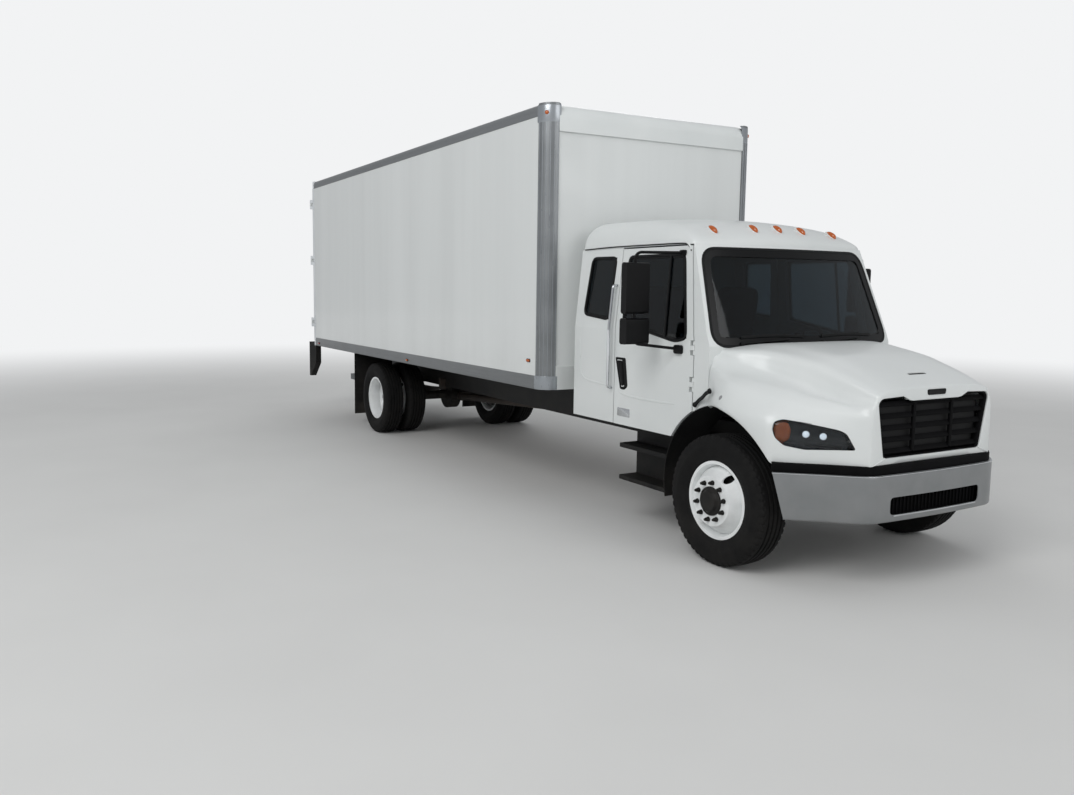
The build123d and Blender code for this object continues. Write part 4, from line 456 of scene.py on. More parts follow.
SLOT_FINISH: dict[str, Finish] = {
    "frame_paint": CHASSIS_BLACK_AND_SHADE,
    "engine_iron": ENGINE_IRON,
    "tank_aluminium": TANK_ALUMINIUM,
    "step_plastic": BLACK_MOULDING,
    "bumper_paint": BUMPER_ENAMEL,
    "floor_wood": OAK_DECK,
    "rail_aluminium": RAIL_ALUMINIUM,
    "wall_panel": SIDE_PANEL,
    "nose_cap": NOSE_GEL_COAT,
    "roof_sheet": ROOF_SHEET,
    "rear_frame_paint": PORTAL_ENAMEL,
    "rear_door_panel": SIDE_PANEL,
    "dock_steel": BUFFER_RUBBER,
    "gate_steel": GALVANISED,
    "flap_rubber": BUFFER_RUBBER,
    "cab_paint": CAB_ENAMEL,
    "pan_paint": BLACK_MOULDING,
    "cab_glass": CAB_GLASS,
    "hood_paint": CAB_ENAMEL,
    "grille_plastic": GLOSS_ABS,
    "lamp_lens": CLEAR_LENS,
    "liner_plastic": BLACK_MOULDING,
    "tyre_rubber": TYRE_RUBBER,
    "rim_paint": RIM_ENAMEL,
    "hub_iron": HUB_BLACK,
    "axle_iron": CAST_IRON_AND_SHADE,
    "spring_steel": SPRING_STEEL,
    "rod_steel": ZINC_STEEL,
    "mirror_plastic": GLOSS_ABS,
    "handle_chrome": CHROME,
    "dash_plastic": DASH_VINYL,
    "wheel_plastic": WHEEL_URETHANE,
    "seat_fabric": SEAT_CLOTH,
    "lamp_amber": AMBER_LENS,
}
BUILT: dict[str, bpy.types.Material] = {}


def material_of(finish: Finish) -> bpy.types.Material:
    """Return the finish's material, built once and then shared."""
    if finish.name not in BUILT:
        BUILT[finish.name] = finish.build()
    return BUILT[finish.name]


def dress_nodes() -> None:
    """Give every CAD node the finish of its material slot."""
    for name, part in NODES.items():
        for slot in part.material_slots:
            slot.material = material_of(SLOT_FINISH[NODE_SLOT[name]])


# ---------------------------------------------------------------- surfaces as arrays


def grid_faces(rows: int, columns: int, wrap_rows: bool = False, wrap_columns: bool = False) -> np.ndarray:
    """List the quads of a grid of points, row by row.

    Args:
        rows: number of rows of points.
        columns: number of points in a row.
        wrap_rows: join the last row to the first.
        wrap_columns: join each row's end to its start.

    Returns:
        An (n, 4) array of vertex numbers.
    """
    row = np.arange(rows if wrap_rows else rows - 1)[:, None]
    column = np.arange(columns if wrap_columns else columns - 1)[None, :]
    below, right = (row + 1) % rows, (column + 1) % columns
    ends = ((row, column), (row, right), (below, right), (below, column))
    return np.stack([down * columns + along for down, along in ends], -1).reshape(-1, 4)


def stacked(rings: Sequence[np.ndarray]) -> Form:
    """Join closed rings into a solid with its two ends shut.

    Args:
        rings: rings of equal length, each (n, 3).

    Returns:
        The solid.
    """
    rows, columns = len(rings), len(rings[0])
    faces = grid_faces(rows, columns, wrap_columns=True).tolist()
    faces.append(list(range(columns))[::-1])
    faces.append(list(range((rows - 1) * columns, rows * columns)))
    return np.concatenate(rings), faces


def looped(rings: Sequence[np.ndarray]) -> Form:
    """Join closed rings into a closed frame, the last ring to the first; see stacked."""
    return np.concatenate(rings), grid_faces(len(rings), len(rings[0]), True, True)


def merged(forms: Sequence[Form]) -> Form:
    """Join several forms into one.

    Args:
        forms: the forms, their points in any grid.

    Returns:
        The joined form.
    """
    vertices, faces, start = [], [], 0
    for points, quads in forms:
        vertices.append(points.reshape(-1, 3))
        faces.extend([int(v) + start for v in face] for face in quads)
        start += len(vertices[-1])
    return np.vstack(vertices), faces


def scattered(form: Form, places: Sequence) -> Form:
    """Copy a small form to many places as one mesh, by applying every place to every vertex.

    Args:
        form: the form, about the origin.
        places: (m, 3) places, or (m, 4, 4) matrices.

    Returns:
        The joined form.
    """
    vertices, faces = form
    places = np.asarray(places, float)
    if places.ndim == 2:
        moved = vertices[None] + places[:, None]
    else:
        moved = np.einsum("mij,nj->mni", places[:, :3, :3], vertices) + places[:, None, :3, 3]
    return merged([(points, faces) for points in moved])


def facing(place: Sequence[float], outward: Sequence[float], turn: float = 0.0) -> np.ndarray:
    """Work out the matrix that carries the origin to a place and +Z to a direction.

    Args:
        place: where the origin goes.
        outward: where +Z points.
        turn: a turn about +Z before that, in radians.

    Returns:
        The (4, 4) matrix.
    """
    turned = Vector(outward).to_track_quat("Z", "Y").to_matrix() @ Matrix.Rotation(turn, 3, "Z")
    matrix = np.eye(4)
    matrix[:3, :3] = np.array(turned)
    matrix[:3, 3] = place
    return matrix


def circle(radius: float, sides: int = 12) -> np.ndarray:
    """Return a circle's points as an (n, 2) array."""
    turned = np.linspace(0, 2 * np.pi, sides, endpoint=False)
    return radius * np.stack([np.cos(turned), np.sin(turned)], 1)


def rounded(corners: Sequence[tuple[float, float]], radius: float, steps: int = 6) -> np.ndarray:
    """Round the corners of a closed outline.

    Each corner C becomes a curve from A to B, the points `radius` away from it along its two edges, by the
    formula (1-t)^2 A + 2t(1-t) C + t^2 B.

    Args:
        corners: the outline's corners in order.
        radius: how far from each corner the curve starts.
        steps: points on each curve.

    Returns:
        An (n * steps, 2) array of points.
    """
    points = np.array(corners, float)
    before, after = np.roll(points, 1, 0) - points, np.roll(points, -1, 0) - points
    start = points + before / np.linalg.norm(before, axis=1, keepdims=True) * radius
    end = points + after / np.linalg.norm(after, axis=1, keepdims=True) * radius
    t = np.linspace(0, 1, steps)[None, :, None]
    curve = (1 - t) ** 2 * start[:, None] + 2 * t * (1 - t) * points[:, None] + t**2 * end[:, None]
    return curve.reshape(-1, 2)


def box_section(width: float, height: float, ease: float = 0.25) -> np.ndarray:
    """Return a rounded rectangle's points, its corners eased by a share of its smaller side."""
    w, h = width / 2, height / 2
    return rounded([(-w, -h), (w, -h), (w, h), (-w, h)], min(width, height) * ease, 3)


def shrunk(outline: np.ndarray, share: float) -> np.ndarray:
    """Scale an outline about the mean of its points."""
    middle = outline.mean(0)
    return middle + (outline - middle) * share


def prism(outline: np.ndarray, levels: Pairs, axis: int = 2, at: Sequence[float] = (0, 0, 0)) -> Form:
    """Stack scaled copies of a flat outline into a solid.

    Args:
        outline: (n, 2) points along the two axes that stay.
        levels: the scale of each copy, and how far along the third axis it lies.
        axis: the number of that third axis.
        at: where the form's origin goes.

    Returns:
        The solid.
    """
    return stacked([np.insert(outline * share, axis, height, 1) + np.array(at) for share, height in levels])


# How far up a dome its last ring stands; the rest is its flat top.
DOME_RISE = 0.93 * np.pi / 2


def dome(radius: float, height: float, rings: int = 4, sides: int = 12) -> Form:
    """Make a closed low dome on the XY plane: radius cos b at height sin b, for b up to a right angle."""
    rise = np.linspace(0, DOME_RISE, rings)
    return prism(circle(1.0, sides), np.column_stack([np.cos(rise) * radius, np.sin(rise) * height]))


def revolved(profile: np.ndarray, axle_x: float, segments: int) -> np.ndarray:
    """Turn a closed profile round a wheel's axle.

    A point (radius, y) at angle a lies at x + radius cos a, y, z + radius sin a.

    Args:
        profile: rows of (radius, y).
        axle_x: the axle's x; its z is the tyre's radius.
        segments: steps round it.

    Returns:
        (segments, n, 3) points, a closed grid both ways.
    """
    turned = np.linspace(0, 2 * np.pi, segments, endpoint=False)[:, None]
    radius, along = profile.T[:, None, :]
    x, z = axle_x + radius * np.cos(turned), TYRE_RADIUS + radius * np.sin(turned)
    return np.stack([x, np.broadcast_to(along, x.shape), z], -1)


def spline(knots: np.ndarray, count: int) -> np.ndarray:
    """Run a smooth curve through knots, evenly in their numbering.

    Each span is a cubic whose end slopes are the mean of the neighbouring chords (Catmull-Rom).

    Args:
        knots: (n, ...) points or rows of points.
        count: how many to return.

    Returns:
        (count, ...) points from the first to the last.
    """
    padded = np.concatenate([2 * knots[:1] - knots[1:2], knots, 2 * knots[-1:] - knots[-2:-1]])
    spans = len(knots) - 1
    place = np.linspace(0, spans, count)
    index = np.minimum(place.astype(int), spans - 1)
    t = (place - index).reshape(-1, *[1] * (knots.ndim - 1))
    a, b, c, d = (padded[index + shift] for shift in range(4))
    return 0.5 * (2 * b + (c - a) * t + (2 * a - 5 * b + 4 * c - d) * t**2 + (3 * b - a - 3 * c + d) * t**3)


def walked(line: np.ndarray, shares: np.ndarray) -> np.ndarray:
    """Return the points of a broken line at shares of its length, 0 to 1."""
    run = np.append(0, np.cumsum(np.linalg.norm(np.diff(line, axis=0), axis=1)))
    return np.stack([np.interp(shares * run[-1], run, axis) for axis in line.T], 1)


def eased(points: Sequence[Sequence[float]], count: int) -> np.ndarray:
    """Run a smooth curve through points, as `count` points evenly in arc length; see spline."""
    return walked(spline(np.array(points, float), (len(points) - 1) * 24 + 1), np.linspace(0, 1, count))


def evened(outline: np.ndarray, count: int = 180) -> np.ndarray:
    """Walk a closed outline in `count` equal steps, so that its straight runs carry points too."""
    return walked(np.vstack([outline, outline[:1]]), np.linspace(0, 1, count, endpoint=False))


def inset_line(points: np.ndarray, amount: float) -> np.ndarray:
    """Move a closed outline inwards along the normals of its neighbouring chords.

    Args:
        points: the outline, (n, 2).
        amount: how far it moves.

    Returns:
        (n, 2) moved points.
    """
    run = np.roll(points, -1, 0) - np.roll(points, 1, 0)
    run /= np.linalg.norm(run, axis=1, keepdims=True)
    area = np.sum(points[:, 0] * np.roll(points[:, 1], -1) - np.roll(points[:, 0], -1) * points[:, 1])
    return points + np.stack([-run[:, 1], run[:, 0]], 1) * np.sign(area) * amount


def carried(path: Sequence, section: np.ndarray, up: Sequence[float] = (0, 0, 1)) -> Form:
    """Carry a flat section along a path into a solid bar.

    At each point the section's first axis is the path's direction crossed with `up`, and its second is that
    crossed with the direction.

    Args:
        path: (n, 3) points.
        section: (m, 2) points, or (n, m, 2) where it changes.
        up: a direction the path never takes.

    Returns:
        The bar, its ends shut.
    """
    path = np.array(path, float)
    ahead = np.gradient(path, axis=0)
    ahead /= np.linalg.norm(ahead, axis=1, keepdims=True)
    side = np.cross(ahead, np.array(up, float))
    side /= np.linalg.norm(side, axis=1, keepdims=True)
    rise = np.cross(side, ahead)
    section = np.broadcast_to(section, (len(path), *section.shape[-2:]))
    return stacked(path[:, None] + section[..., :1] * side[:, None] + section[..., 1:] * rise[:, None])


# ---------------------------------------------------------------- pieces

# Points closer than this are one, in a form made here and in a CAD node's triangles; metres.
WELD_FORM = 1e-5
WELD_NODE = 2e-5
# Faces that differ by less than this many degrees are one flat face.
FLAT_DEGREES = 0.6


def mesh_of(name: str, form: Form) -> bpy.types.Mesh:
    """Put a form into a mesh, merge its doubled points and turn every shell's faces outwards.

    Args:
        name: the mesh's name.
        form: its points and faces.

    Returns:
        The mesh.
    """
    mesh = bpy.data.meshes.new(name)
    mesh.from_pydata(np.asarray(form[0], float).tolist(), [], [list(map(int, face)) for face in form[1]])
    work = bmesh.new()
    work.from_mesh(mesh)
    bmesh.ops.remove_doubles(work, verts=work.verts, dist=WELD_FORM)
    bmesh.ops.recalc_face_normals(work, faces=work.faces)
    work.to_mesh(mesh)
    work.free()
    return mesh


def linked(name: str, data: bpy.types.ID) -> bpy.types.Object:
    """Make an object of a mesh, light or camera and link it to the scene."""
    made = bpy.data.objects.new(name, data)
    bpy.context.scene.collection.objects.link(made)
    return made


def hang(
    name: str,
    mesh: bpy.types.Mesh,
    finish: Finish,
    body: str,
    slot: str,
    replaces: Sequence[str] = (),
    smooth: float = 40.0,
) -> bpy.types.Object:
    """Make the object of a mesh, dress and shade it, and hang it on its body.

    Args:
        name: the piece's name.
        mesh: its mesh.
        finish: its material.
        body: the CAD body it rides on.
        slot: the record's material slot; not used.
        replaces: CAD nodes it stands for.
        smooth: edges flatter than this many degrees are shaded smooth.

    Returns:
        The new object.
    """
    mesh.materials.clear()
    mesh.materials.append(material_of(finish))
    mesh.shade_smooth()
    mesh.set_sharp_from_angle(angle=math.radians(smooth))
    piece = linked(name, mesh)
    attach(piece, body)
    if replaces:
        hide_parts(*replaces)
    LOG.info("%s: %d faces on %s", name, len(mesh.polygons), body)
    return piece


def make_piece(name: str, form: Form, *dress: object, **more: object) -> bpy.types.Object:
    """Make a piece from a form; see hang for the rest: finish, body, slot, replaces and smooth."""
    return hang(name, mesh_of(name, form), *dress, **more)


def soften(node: str, width: float, smooth: float = 32.0) -> None:
    """Re-make a CAD node as one merged skin with eased edges, in its slot's finish.

    The node's triangles are merged and its flat faces joined, then every edge sharper than `smooth` gets a
    small rounded bevel, as folded sheet and castings have.

    Args:
        node: the CAD node.
        width: the bevel's width, or 0 for none.
        smooth: the angle in degrees that counts as an edge.
    """
    name = f"{node}_skin"
    mesh = NODES[node].data.copy()
    mesh.name = name
    work = bmesh.new()
    work.from_mesh(mesh)
    for layer in list(work.loops.layers.uv):
        work.loops.layers.uv.remove(layer)
    bmesh.ops.remove_doubles(work, verts=work.verts, dist=WELD_NODE)
    if width > 0:
        flat = math.radians(FLAT_DEGREES)
        bmesh.ops.dissolve_limit(work, angle_limit=flat, verts=work.verts, edges=work.edges)
    for face in work.faces:
        face.material_index = 0
    work.to_mesh(mesh)
    work.free()
    slot = NODE_SLOT[node]
    piece = hang(name, mesh, SLOT_FINISH[slot], NODES[node]["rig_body"], slot, (node,), smooth)
    if width > 0:
        bevel = piece.modifiers.new("eased_edges", "BEVEL")
        bevel.width = width
        bevel.segments = 2
        bevel.limit_method = "ANGLE"
        bevel.angle_limit = math.radians(smooth)
        bevel.harden_normals = True


def baked(piece: bpy.types.Object) -> None:
    """Replace a piece's mesh by what its modifiers make of it, and drop the modifiers.

    Args:
        piece: the piece.
    """
    graph = bpy.context.evaluated_depsgraph_get()
    mesh = bpy.data.meshes.new_from_object(piece.evaluated_get(graph), depsgraph=graph)
    piece.modifiers.clear()
    piece.data = mesh


def thicken(piece: bpy.types.Object, wall: float) -> None:
    """Give an open surface a wall behind its face."""
    piece.modifiers.new("wall", "SOLIDIFY").thickness = wall
    baked(piece)


def cut_by(piece: bpy.types.Object, cutter: Form, keep_inside: bool = False) -> None:
    """Cut a closed form out of a closed piece, or keep only what lies in it.

    Args:
        piece: the piece to cut.
        cutter: the form.
        keep_inside: whether the inside stays rather than the outside.
    """
    tool = linked("cutter", mesh_of("cutter", cutter))
    cut = piece.modifiers.new("cut", "BOOLEAN")
    cut.operation = "INTERSECT" if keep_inside else "DIFFERENCE"
    cut.solver = "EXACT"
    cut.object = tool
    baked(piece)
    mesh = tool.data
    bpy.data.objects.remove(tool)
    bpy.data.meshes.remove(mesh)


# How wide the eased edges are in metres, and the CAD nodes that have them.
SKINS: dict[float, tuple[str, ...]] = {
    0.0: ("body_roof",),
    0.0015: ("leaf_springs",),
    0.002: ("mud_flaps", "splash_guards", "arch_liners"),
    0.003: (
        "body_subframe", "body_front_wall", "rear_door_left", "rear_door_right", "liftgate", "cab_back_wall",
        "knuckle_left", "knuckle_right",
    ),
    0.004: (
        "ladder_frame", "rear_axle_housing", "body_rails_posts", "body_rear_frame", "cab_side_panels",
        "cab_cowl", "door_left", "door_right",
    ),
    0.005: ("front_axle_beam",),
    0.006: ("fuel_tank", "cab_steps", "body_nose_cap"),
    0.008: ("engine_block", "dock_bumpers"),
    0.012: ("dashboard",),
    0.014: ("mirror_left", "mirror_right"),
}


# ---------------------------------------------------------------- wheels


@dataclass
class Tyre:
    """A radial truck tyre: a lathe section whose tread has grooves and whose shoulders have lugs."""

    tread_half: float = 0.108
    crown_drop: float = 0.0035
    bead_radius: float = 0.2992
    groove_depth: float = 0.012
    groove_half: float = 0.0045
    groove_places: tuple[float, ...] = (-0.062, -0.021, 0.021, 0.062)
    lug_count: int = 54
    lug_depth: float = 0.009
    lug_steepness: float = 3.0
    lug_start: float = 1.2
    segments: int = 324
    # From the tread's edge to the bead: how far below the tread, y, and how strongly the lugs cut it.
    wall: tuple[tuple[float, float, float], ...] = (
        (0.004, 0.096, 0), (0.0045, 0.102, 1), (0.009, 0.114, 1), (0.026, 0.1235, 1), (0.034, 0.1262, 0),
        (0.060, 0.1335, 0), (0.085, 0.1365, 0), (0.088, 0.1375, 0), (0.112, 0.1375, 0), (0.115, 0.1365, 0),
        (0.145, 0.1325, 0), (0.170, 0.1240, 0), (0.186, 0.1160, 0), (0.190, 0.1150, 0),
        (TYRE_RADIUS - bead_radius, 0.1065, 0),
    )

    def section(self) -> tuple[np.ndarray, np.ndarray]:
        """Lay out the section from the inner bead over the tread to the outer bead and back inside.

        Returns:
            (n, 2) rows of radius and y, and how strongly the lugs cut each row, 0 to 1.
        """
        y = np.add.outer(self.groove_places, np.array([-2, -1, 1, 2]) * self.groove_half).ravel()
        groove = np.tile([0, self.groove_depth, self.groove_depth, 0], len(self.groove_places))
        crown = np.column_stack([self.crown_drop * (y / self.tread_half) ** 2 + groove, y, 0 * y])
        wall = np.array(self.wall)
        rows = np.vstack([wall[::-1] * (1, -1, 1), crown, wall, [(0.02, 0.09, 0), (0.02, -0.09, 0)]])
        rows[:, 0] = TYRE_RADIUS - rows[:, 0]
        return rows[:, :2], rows[:, 2]

    def rings(self, axle_x: float, middle: float) -> np.ndarray:
        """Turn the section, dropping the shoulders where the sine of the lug angle is low.

        Args:
            axle_x: the axle's x.
            middle: the tyre's middle along Y.

        Returns:
            (segments, n, 3) points.
        """
        section, cut = self.section()
        grid = revolved(section + (0, middle), axle_x, self.segments)
        turned = np.linspace(0, 2 * np.pi, self.segments, endpoint=False)
        gap = np.clip(-self.lug_steepness * np.sin(turned * self.lug_count) - self.lug_start, 0, 1)
        radial = grid - np.array([axle_x, 0, TYRE_RADIUS])
        radial[..., 1] = 0
        length = np.linalg.norm(radial, axis=-1, keepdims=True)
        return grid - radial / length * (self.lug_depth * gap[:, None] * cut[None])[..., None]

    def build(self, name: str, axle_x: float, middles: Sequence[float], body: str, node: str) -> None:
        """Make the tyre or twin tyres of one wheel end.

        Args:
            name: the piece's name.
            axle_x: the axle's x.
            middles: the tyres' middles along Y.
            body: the CAD body it rides on.
            node: the CAD node it stands for.
        """
        form = merged([looped(self.rings(axle_x, middle)) for middle in middles])
        make_piece(name, form, TYRE_RUBBER, body, "tyre_rubber", (node,), 30)


@dataclass
class WheelEnd:
    """Nuts with their studs and washers, and the hub's cap with its bolts, on one disc wheel."""

    axle_x: float
    face_half: float
    side: int
    body: str
    name: str
    hub_half: float
    nut_circle: float = 0.142875
    nut_across: float = 0.0165
    nut_count: int = 10
    nut_start: float = 0.2
    nut_turn: float = 0.3
    stud_radius: float = 0.0105
    bolt_circle: float = 0.066
    bolt_count: int = 6
    bolt_depth: float = 0.004
    cap_depth: float = 0.022
    nut_levels: Pairs = ((1.25, 0.0), (1.25, 0.004), (1.0, 0.004), (1.0, 0.022), (0.86, 0.026))
    cap_profile: Pairs = (
        (0.0001, 0.0), (0.080, 0.0), (0.080, 0.012), (0.072, 0.018), (0.050, 0.022), (0.0001, 0.023),
    )

    def spots(self, radius: float, count: int, half: float, start: float, turn: float) -> list[np.ndarray]:
        """Return matrices that stand a form on the wheel's face.

        Args:
            radius: the circle they stand on.
            count: how many, evenly spaced.
            half: how far from the truck's middle they stand.
            start: the first one's angle.
            turn: each form's own turn.

        Returns:
            One matrix a place.
        """
        turned = (np.linspace(0, 2 * np.pi, count, endpoint=False) + start).tolist()
        centres = [
            (self.axle_x + radius * math.cos(a), self.side * half, TYRE_RADIUS + radius * math.sin(a))
            for a in turned
        ]
        return [facing(centre, (0, self.side, 0), turn) for centre in centres]

    def build(self) -> None:
        """Make the nuts and the cap."""
        nut = prism(circle(self.nut_across, 6), self.nut_levels)
        stud = prism(circle(self.stud_radius, 10), ((1, 0.02), (1, 0.036), (1, 0.038)))
        places = self.spots(self.nut_circle, self.nut_count, self.face_half, self.nut_start, self.nut_turn)
        dress = (HUB_BLACK, self.body, "hub_iron", (), 35)
        make_piece(f"{self.name}_nuts", scattered(merged([nut, stud]), places), *dress)
        profile = (np.array(self.cap_profile) + (0, self.hub_half - self.cap_depth)) * (1, self.side)
        cap = looped(revolved(profile, self.axle_x, 40))
        bolts = self.spots(self.bolt_circle, self.bolt_count, self.hub_half - self.bolt_depth, 0.0, 0.0)
        make_piece(f"{self.name}_cap", merged([cap, scattered(dome(0.007, 0.004, 3, 8), bolts)]), *dress)


@dataclass
class RunningGear:
    """The four wheel stations."""

    front_middle: float = 1.022
    front_face: float = 1.179
    rear_middles: tuple[float, float] = (1.087, 0.745)
    rear_face: float = 0.928

    def build(self) -> None:
        """Make tyres, nuts and caps, and ease the CAD's rims and hubs."""
        for side, word in SIDES:
            for end, tyre, axle_x, middles, face, body, plural in (
                ("front", Tyre(), FRONT_X, (self.front_middle,), self.front_face, "front_wheel", ""),
                ("rear", Tyre(segments=216), REAR_X, self.rear_middles, self.rear_face, "rear_wheels", "s"),
            ):
                body = f"{body}_{word}"
                hub = f"hub_{end}_{word}"
                node = f"tyre{plural}_{end}_{word}"
                tyre.build(f"tyre_tread_{end}_{word}", axle_x, [side * y for y in middles], body, node)
                soften(f"rim{plural}_{end}_{word}", 0.002, 30)
                soften(hub, 0.0025, 30)
                hub_half = float(np.abs(place_of(hub)).max(0)[1])
                WheelEnd(axle_x, face, side, body, f"{end}_{word}", hub_half).build()


# ---------------------------------------------------------------- hood, lamps, grille, bumper

Stand = Callable[[np.ndarray, float, int], np.ndarray]
SWEEP = np.array([0.450, -0.530]) / math.hypot(0.450, 0.530)
SWEEP_NORMAL = np.array([0.530, 0.450]) / math.hypot(0.450, 0.530)
NOSE_X = FRONT_X + 0.964


def raised(stand: Stand, outline: np.ndarray, levels: Pairs, side: int) -> Form:
    """Stack copies of an outline on a curved face into a solid.

    Args:
        stand: what puts an outline on the face, given how far out and the side.
        outline: its points on the face.
        levels: each copy's scale about the outline's middle, and how far out it lies.
        side: 1 for left, -1 for right.

    Returns:
        The solid.
    """
    return stacked([stand(shrunk(outline, share), out, side) for share, out in levels])


def bead(stand: Stand, outline: np.ndarray, shape: Pairs, side: int) -> Form:
    """Run a closed section round an outline on a curved face: rows of (how far inwards, how far out)."""
    return looped([stand(inset_line(outline, inward), out, side) for inward, out in shape])


def lamp_outline(reduce: float = 0.0) -> np.ndarray:
    """Return the headlamp's rounded outline as rows of (run along the sweep, z), shrunk by `reduce`."""
    corners = np.array(Headlamp.line)
    away = corners - corners.mean(0)
    return rounded(corners - away / np.linalg.norm(away, axis=1, keepdims=True) * reduce, 0.020, 5)


def lamp_points(outline: np.ndarray, out: float, side: int) -> np.ndarray:
    """Stand an outline on the fender's swept face, moved out along its normal."""
    flat = np.array([FRONT_X + 0.500, 1.150]) + outline[:, :1] * SWEEP + out * SWEEP_NORMAL
    return np.column_stack([flat[:, 0], side * flat[:, 1], outline[:, 1]])


@dataclass
class Hood:
    """The tilting nose: crown, valleys and fenders as one smooth surface, wrapped round to the grille."""

    bottom: float = 0.890
    arch: tuple[float, float, float] = (-0.066, 0.522, 0.684)
    wall: float = 0.006
    rows: int = 76
    columns: int = 121
    # ahead of the axle, crown z, flat half, flat z, shoulder half, shoulder z, valley half, valley z,
    # fender crown half, fender crown z, side top half, side top z, side half
    sections: tuple[tuple[float, ...], ...] = (
        (-0.225, 1.656, 0.600, 1.653, 0.900, 1.622, 0.985, 1.565, 1.008, 1.500, 1.026, 1.430, 1.034),
        (-0.060, 1.668, 0.540, 1.664, 0.850, 1.617, 0.930, 1.520, 1.000, 1.470, 1.085, 1.390, 1.120),
        (0.120, 1.664, 0.460, 1.660, 0.740, 1.604, 0.815, 1.462, 0.960, 1.440, 1.105, 1.368, 1.168),
        (0.420, 1.622, 0.440, 1.614, 0.670, 1.556, 0.742, 1.388, 0.885, 1.384, 1.042, 1.306, 1.150),
        (0.560, 1.584, 0.430, 1.576, 0.650, 1.516, 0.716, 1.343, 0.835, 1.343, 0.967, 1.270, 1.080),
        (0.760, 1.506, 0.430, 1.500, 0.625, 1.452, 0.682, 1.306, 0.742, 1.300, 0.814, 1.225, 0.860),
        (0.955, 1.418, 0.430, 1.409, 0.592, 1.376, 0.640, 1.292, 0.652, 1.235, 0.657, 1.170, 0.660),
    )
    grille_corners: Pairs = (
        (-0.528, 0.934), (0.528, 0.934), (0.604, 1.318), (0.570, 1.350), (0.325, 1.358), (0.278, 1.322),
        (-0.278, 1.322), (-0.325, 1.358), (-0.570, 1.350), (-0.604, 1.318),
    )
    grille_middle: tuple[float, float] = (0.0, 1.13)
    grille_round: float = 0.023
    vent_x: float = FRONT_X + 0.800

    def across(self) -> np.ndarray:
        """Work out the grid of sections.

        Each table column is carried forward on a smooth curve; across, each section is a smooth curve through
        its points, mirrored about the middle plane, and its sides drop to the bottom or to the wheel arch.

        Returns:
            (rows, columns, 3) points from the rear edge to the front, left side to right.
        """
        ahead, crown, fh, fz, sh, sz, vh, vz, eh, ez, th, tz, wall = eased(self.sections, self.rows).T
        arch_x, arch_z, arch_r = self.arch
        inside = np.clip(arch_r**2 - (ahead - arch_x) ** 2, 0, None)
        low = np.maximum(self.bottom, np.where(inside > 0, arch_z + np.sqrt(inside), 0))
        half = (
            (0 * crown, crown), (fh * 0.55, (crown + fz) / 2 + 0.002), (fh, fz),
            ((fh + sh) / 2, (fz + sz) / 2 + 0.006), (sh, sz),
            ((sh + vh) / 2, (sz + vz) / 2 - 0.006), (vh, vz),
            (eh, ez), ((eh + th) / 2, (ez + tz) / 2 + 0.012), (th, tz),
            (wall, np.maximum(tz - 0.13, low + 0.012)), (wall, low), (wall - 0.03, low + 0.001),
        )
        knots = np.stack([np.stack(point, -1) for point in half])
        knots = np.concatenate([knots[:0:-1], knots * (-1, 1)])
        fine = spline(knots, self.columns).transpose(1, 0, 2)
        x = np.broadcast_to((FRONT_X + ahead)[:, None, None], (*fine.shape[:2], 1))
        return np.concatenate([x, fine], -1)

    def build(self) -> None:
        """Make the shell with its nose, cut the lamp openings, and keep the cut-outs as the lamps' covers."""
        skin = self.across()
        nose = self.nose(skin[-1])
        skin = np.concatenate([skin[:1] * (1, 0.975, 0.988), skin])
        parts = [(skin, grid_faces(*skin.shape[:2])), (nose, grid_faces(*nose.shape[:2], wrap_columns=True))]
        dress = (CAB_ENAMEL, "hood", "hood_paint", ("hood_shell",), 48)
        shell = make_piece("hood_smooth", merged(parts), *dress)
        thicken(shell, self.wall)
        uncut = shell.data.copy()
        for side, _ in SIDES:
            cut_by(shell, raised(lamp_points, lamp_outline(), ((1, -0.25), (1, 0.25)), side))
        vent = box_section(0.198, 0.026, 0.45)[:, ::-1] + (self.vent_x, 0)
        cut_by(shell, prism(vent, ((1, 1.44), (1, 1.56))))
        shell.data.set_sharp_from_angle(angle=math.radians(40))
        for side, word in SIDES:
            cover = hang(f"headlamp_cover_{word}", uncut.copy(), CLEAR_LENS, "hood", "lamp_lens")
            gap = raised(lamp_points, lamp_outline(0.004), ((1, -0.25), (1, 0.25)), side)
            cut_by(cover, gap, keep_inside=True)

    def nose(self, edge: np.ndarray) -> np.ndarray:
        """Wrap the front edge round to the grille opening.

        The edge is closed along the bottom; each of its points is led straight to the opening's point at the
        same angle about the grille's middle, and both ends turn over a small rounded lip.

        Args:
            edge: the foremost section, left to right.

        Returns:
            (rings, n, 3) points.
        """
        outer = edge[1:-1]
        loop = np.vstack([outer, np.linspace(outer[-1], outer[0], 42)[1:-1]])
        flat, centre = loop[:, 1:], np.array(self.grille_middle)
        angle = np.unwrap(np.arctan2(*(flat - centre).T[::-1]))
        line = rounded(self.grille_corners, self.grille_round, 8)
        line = np.vstack([line, line[:1]])
        run, index = np.linspace(0, len(line) - 1, 1600), np.arange(len(line))
        dense = np.stack([np.interp(run, index, axis) for axis in line.T], 1) - centre
        turn, reach = np.arctan2(dense[:, 1], dense[:, 0]), np.linalg.norm(dense, axis=1)
        order = np.argsort(turn)
        radius = np.interp(angle, turn[order], reach[order], period=2 * np.pi)
        inner = centre + radius[:, None] * np.stack([np.cos(angle), np.sin(angle)], 1)
        lip = (inner - centre) / np.linalg.norm(inner - centre, axis=1, keepdims=True)
        steps = (
            (flat - lip * 0.004, -0.004), (flat - lip * 0.012, 0.0), (inner + lip * 0.012, 0.003),
            (inner + lip * 0.004, 0.003), (inner, 0.0), (inner, -0.030),
        )
        return np.stack([loop, *(np.insert(ring, 0, NOSE_X + x, 1) for ring, x in steps)])


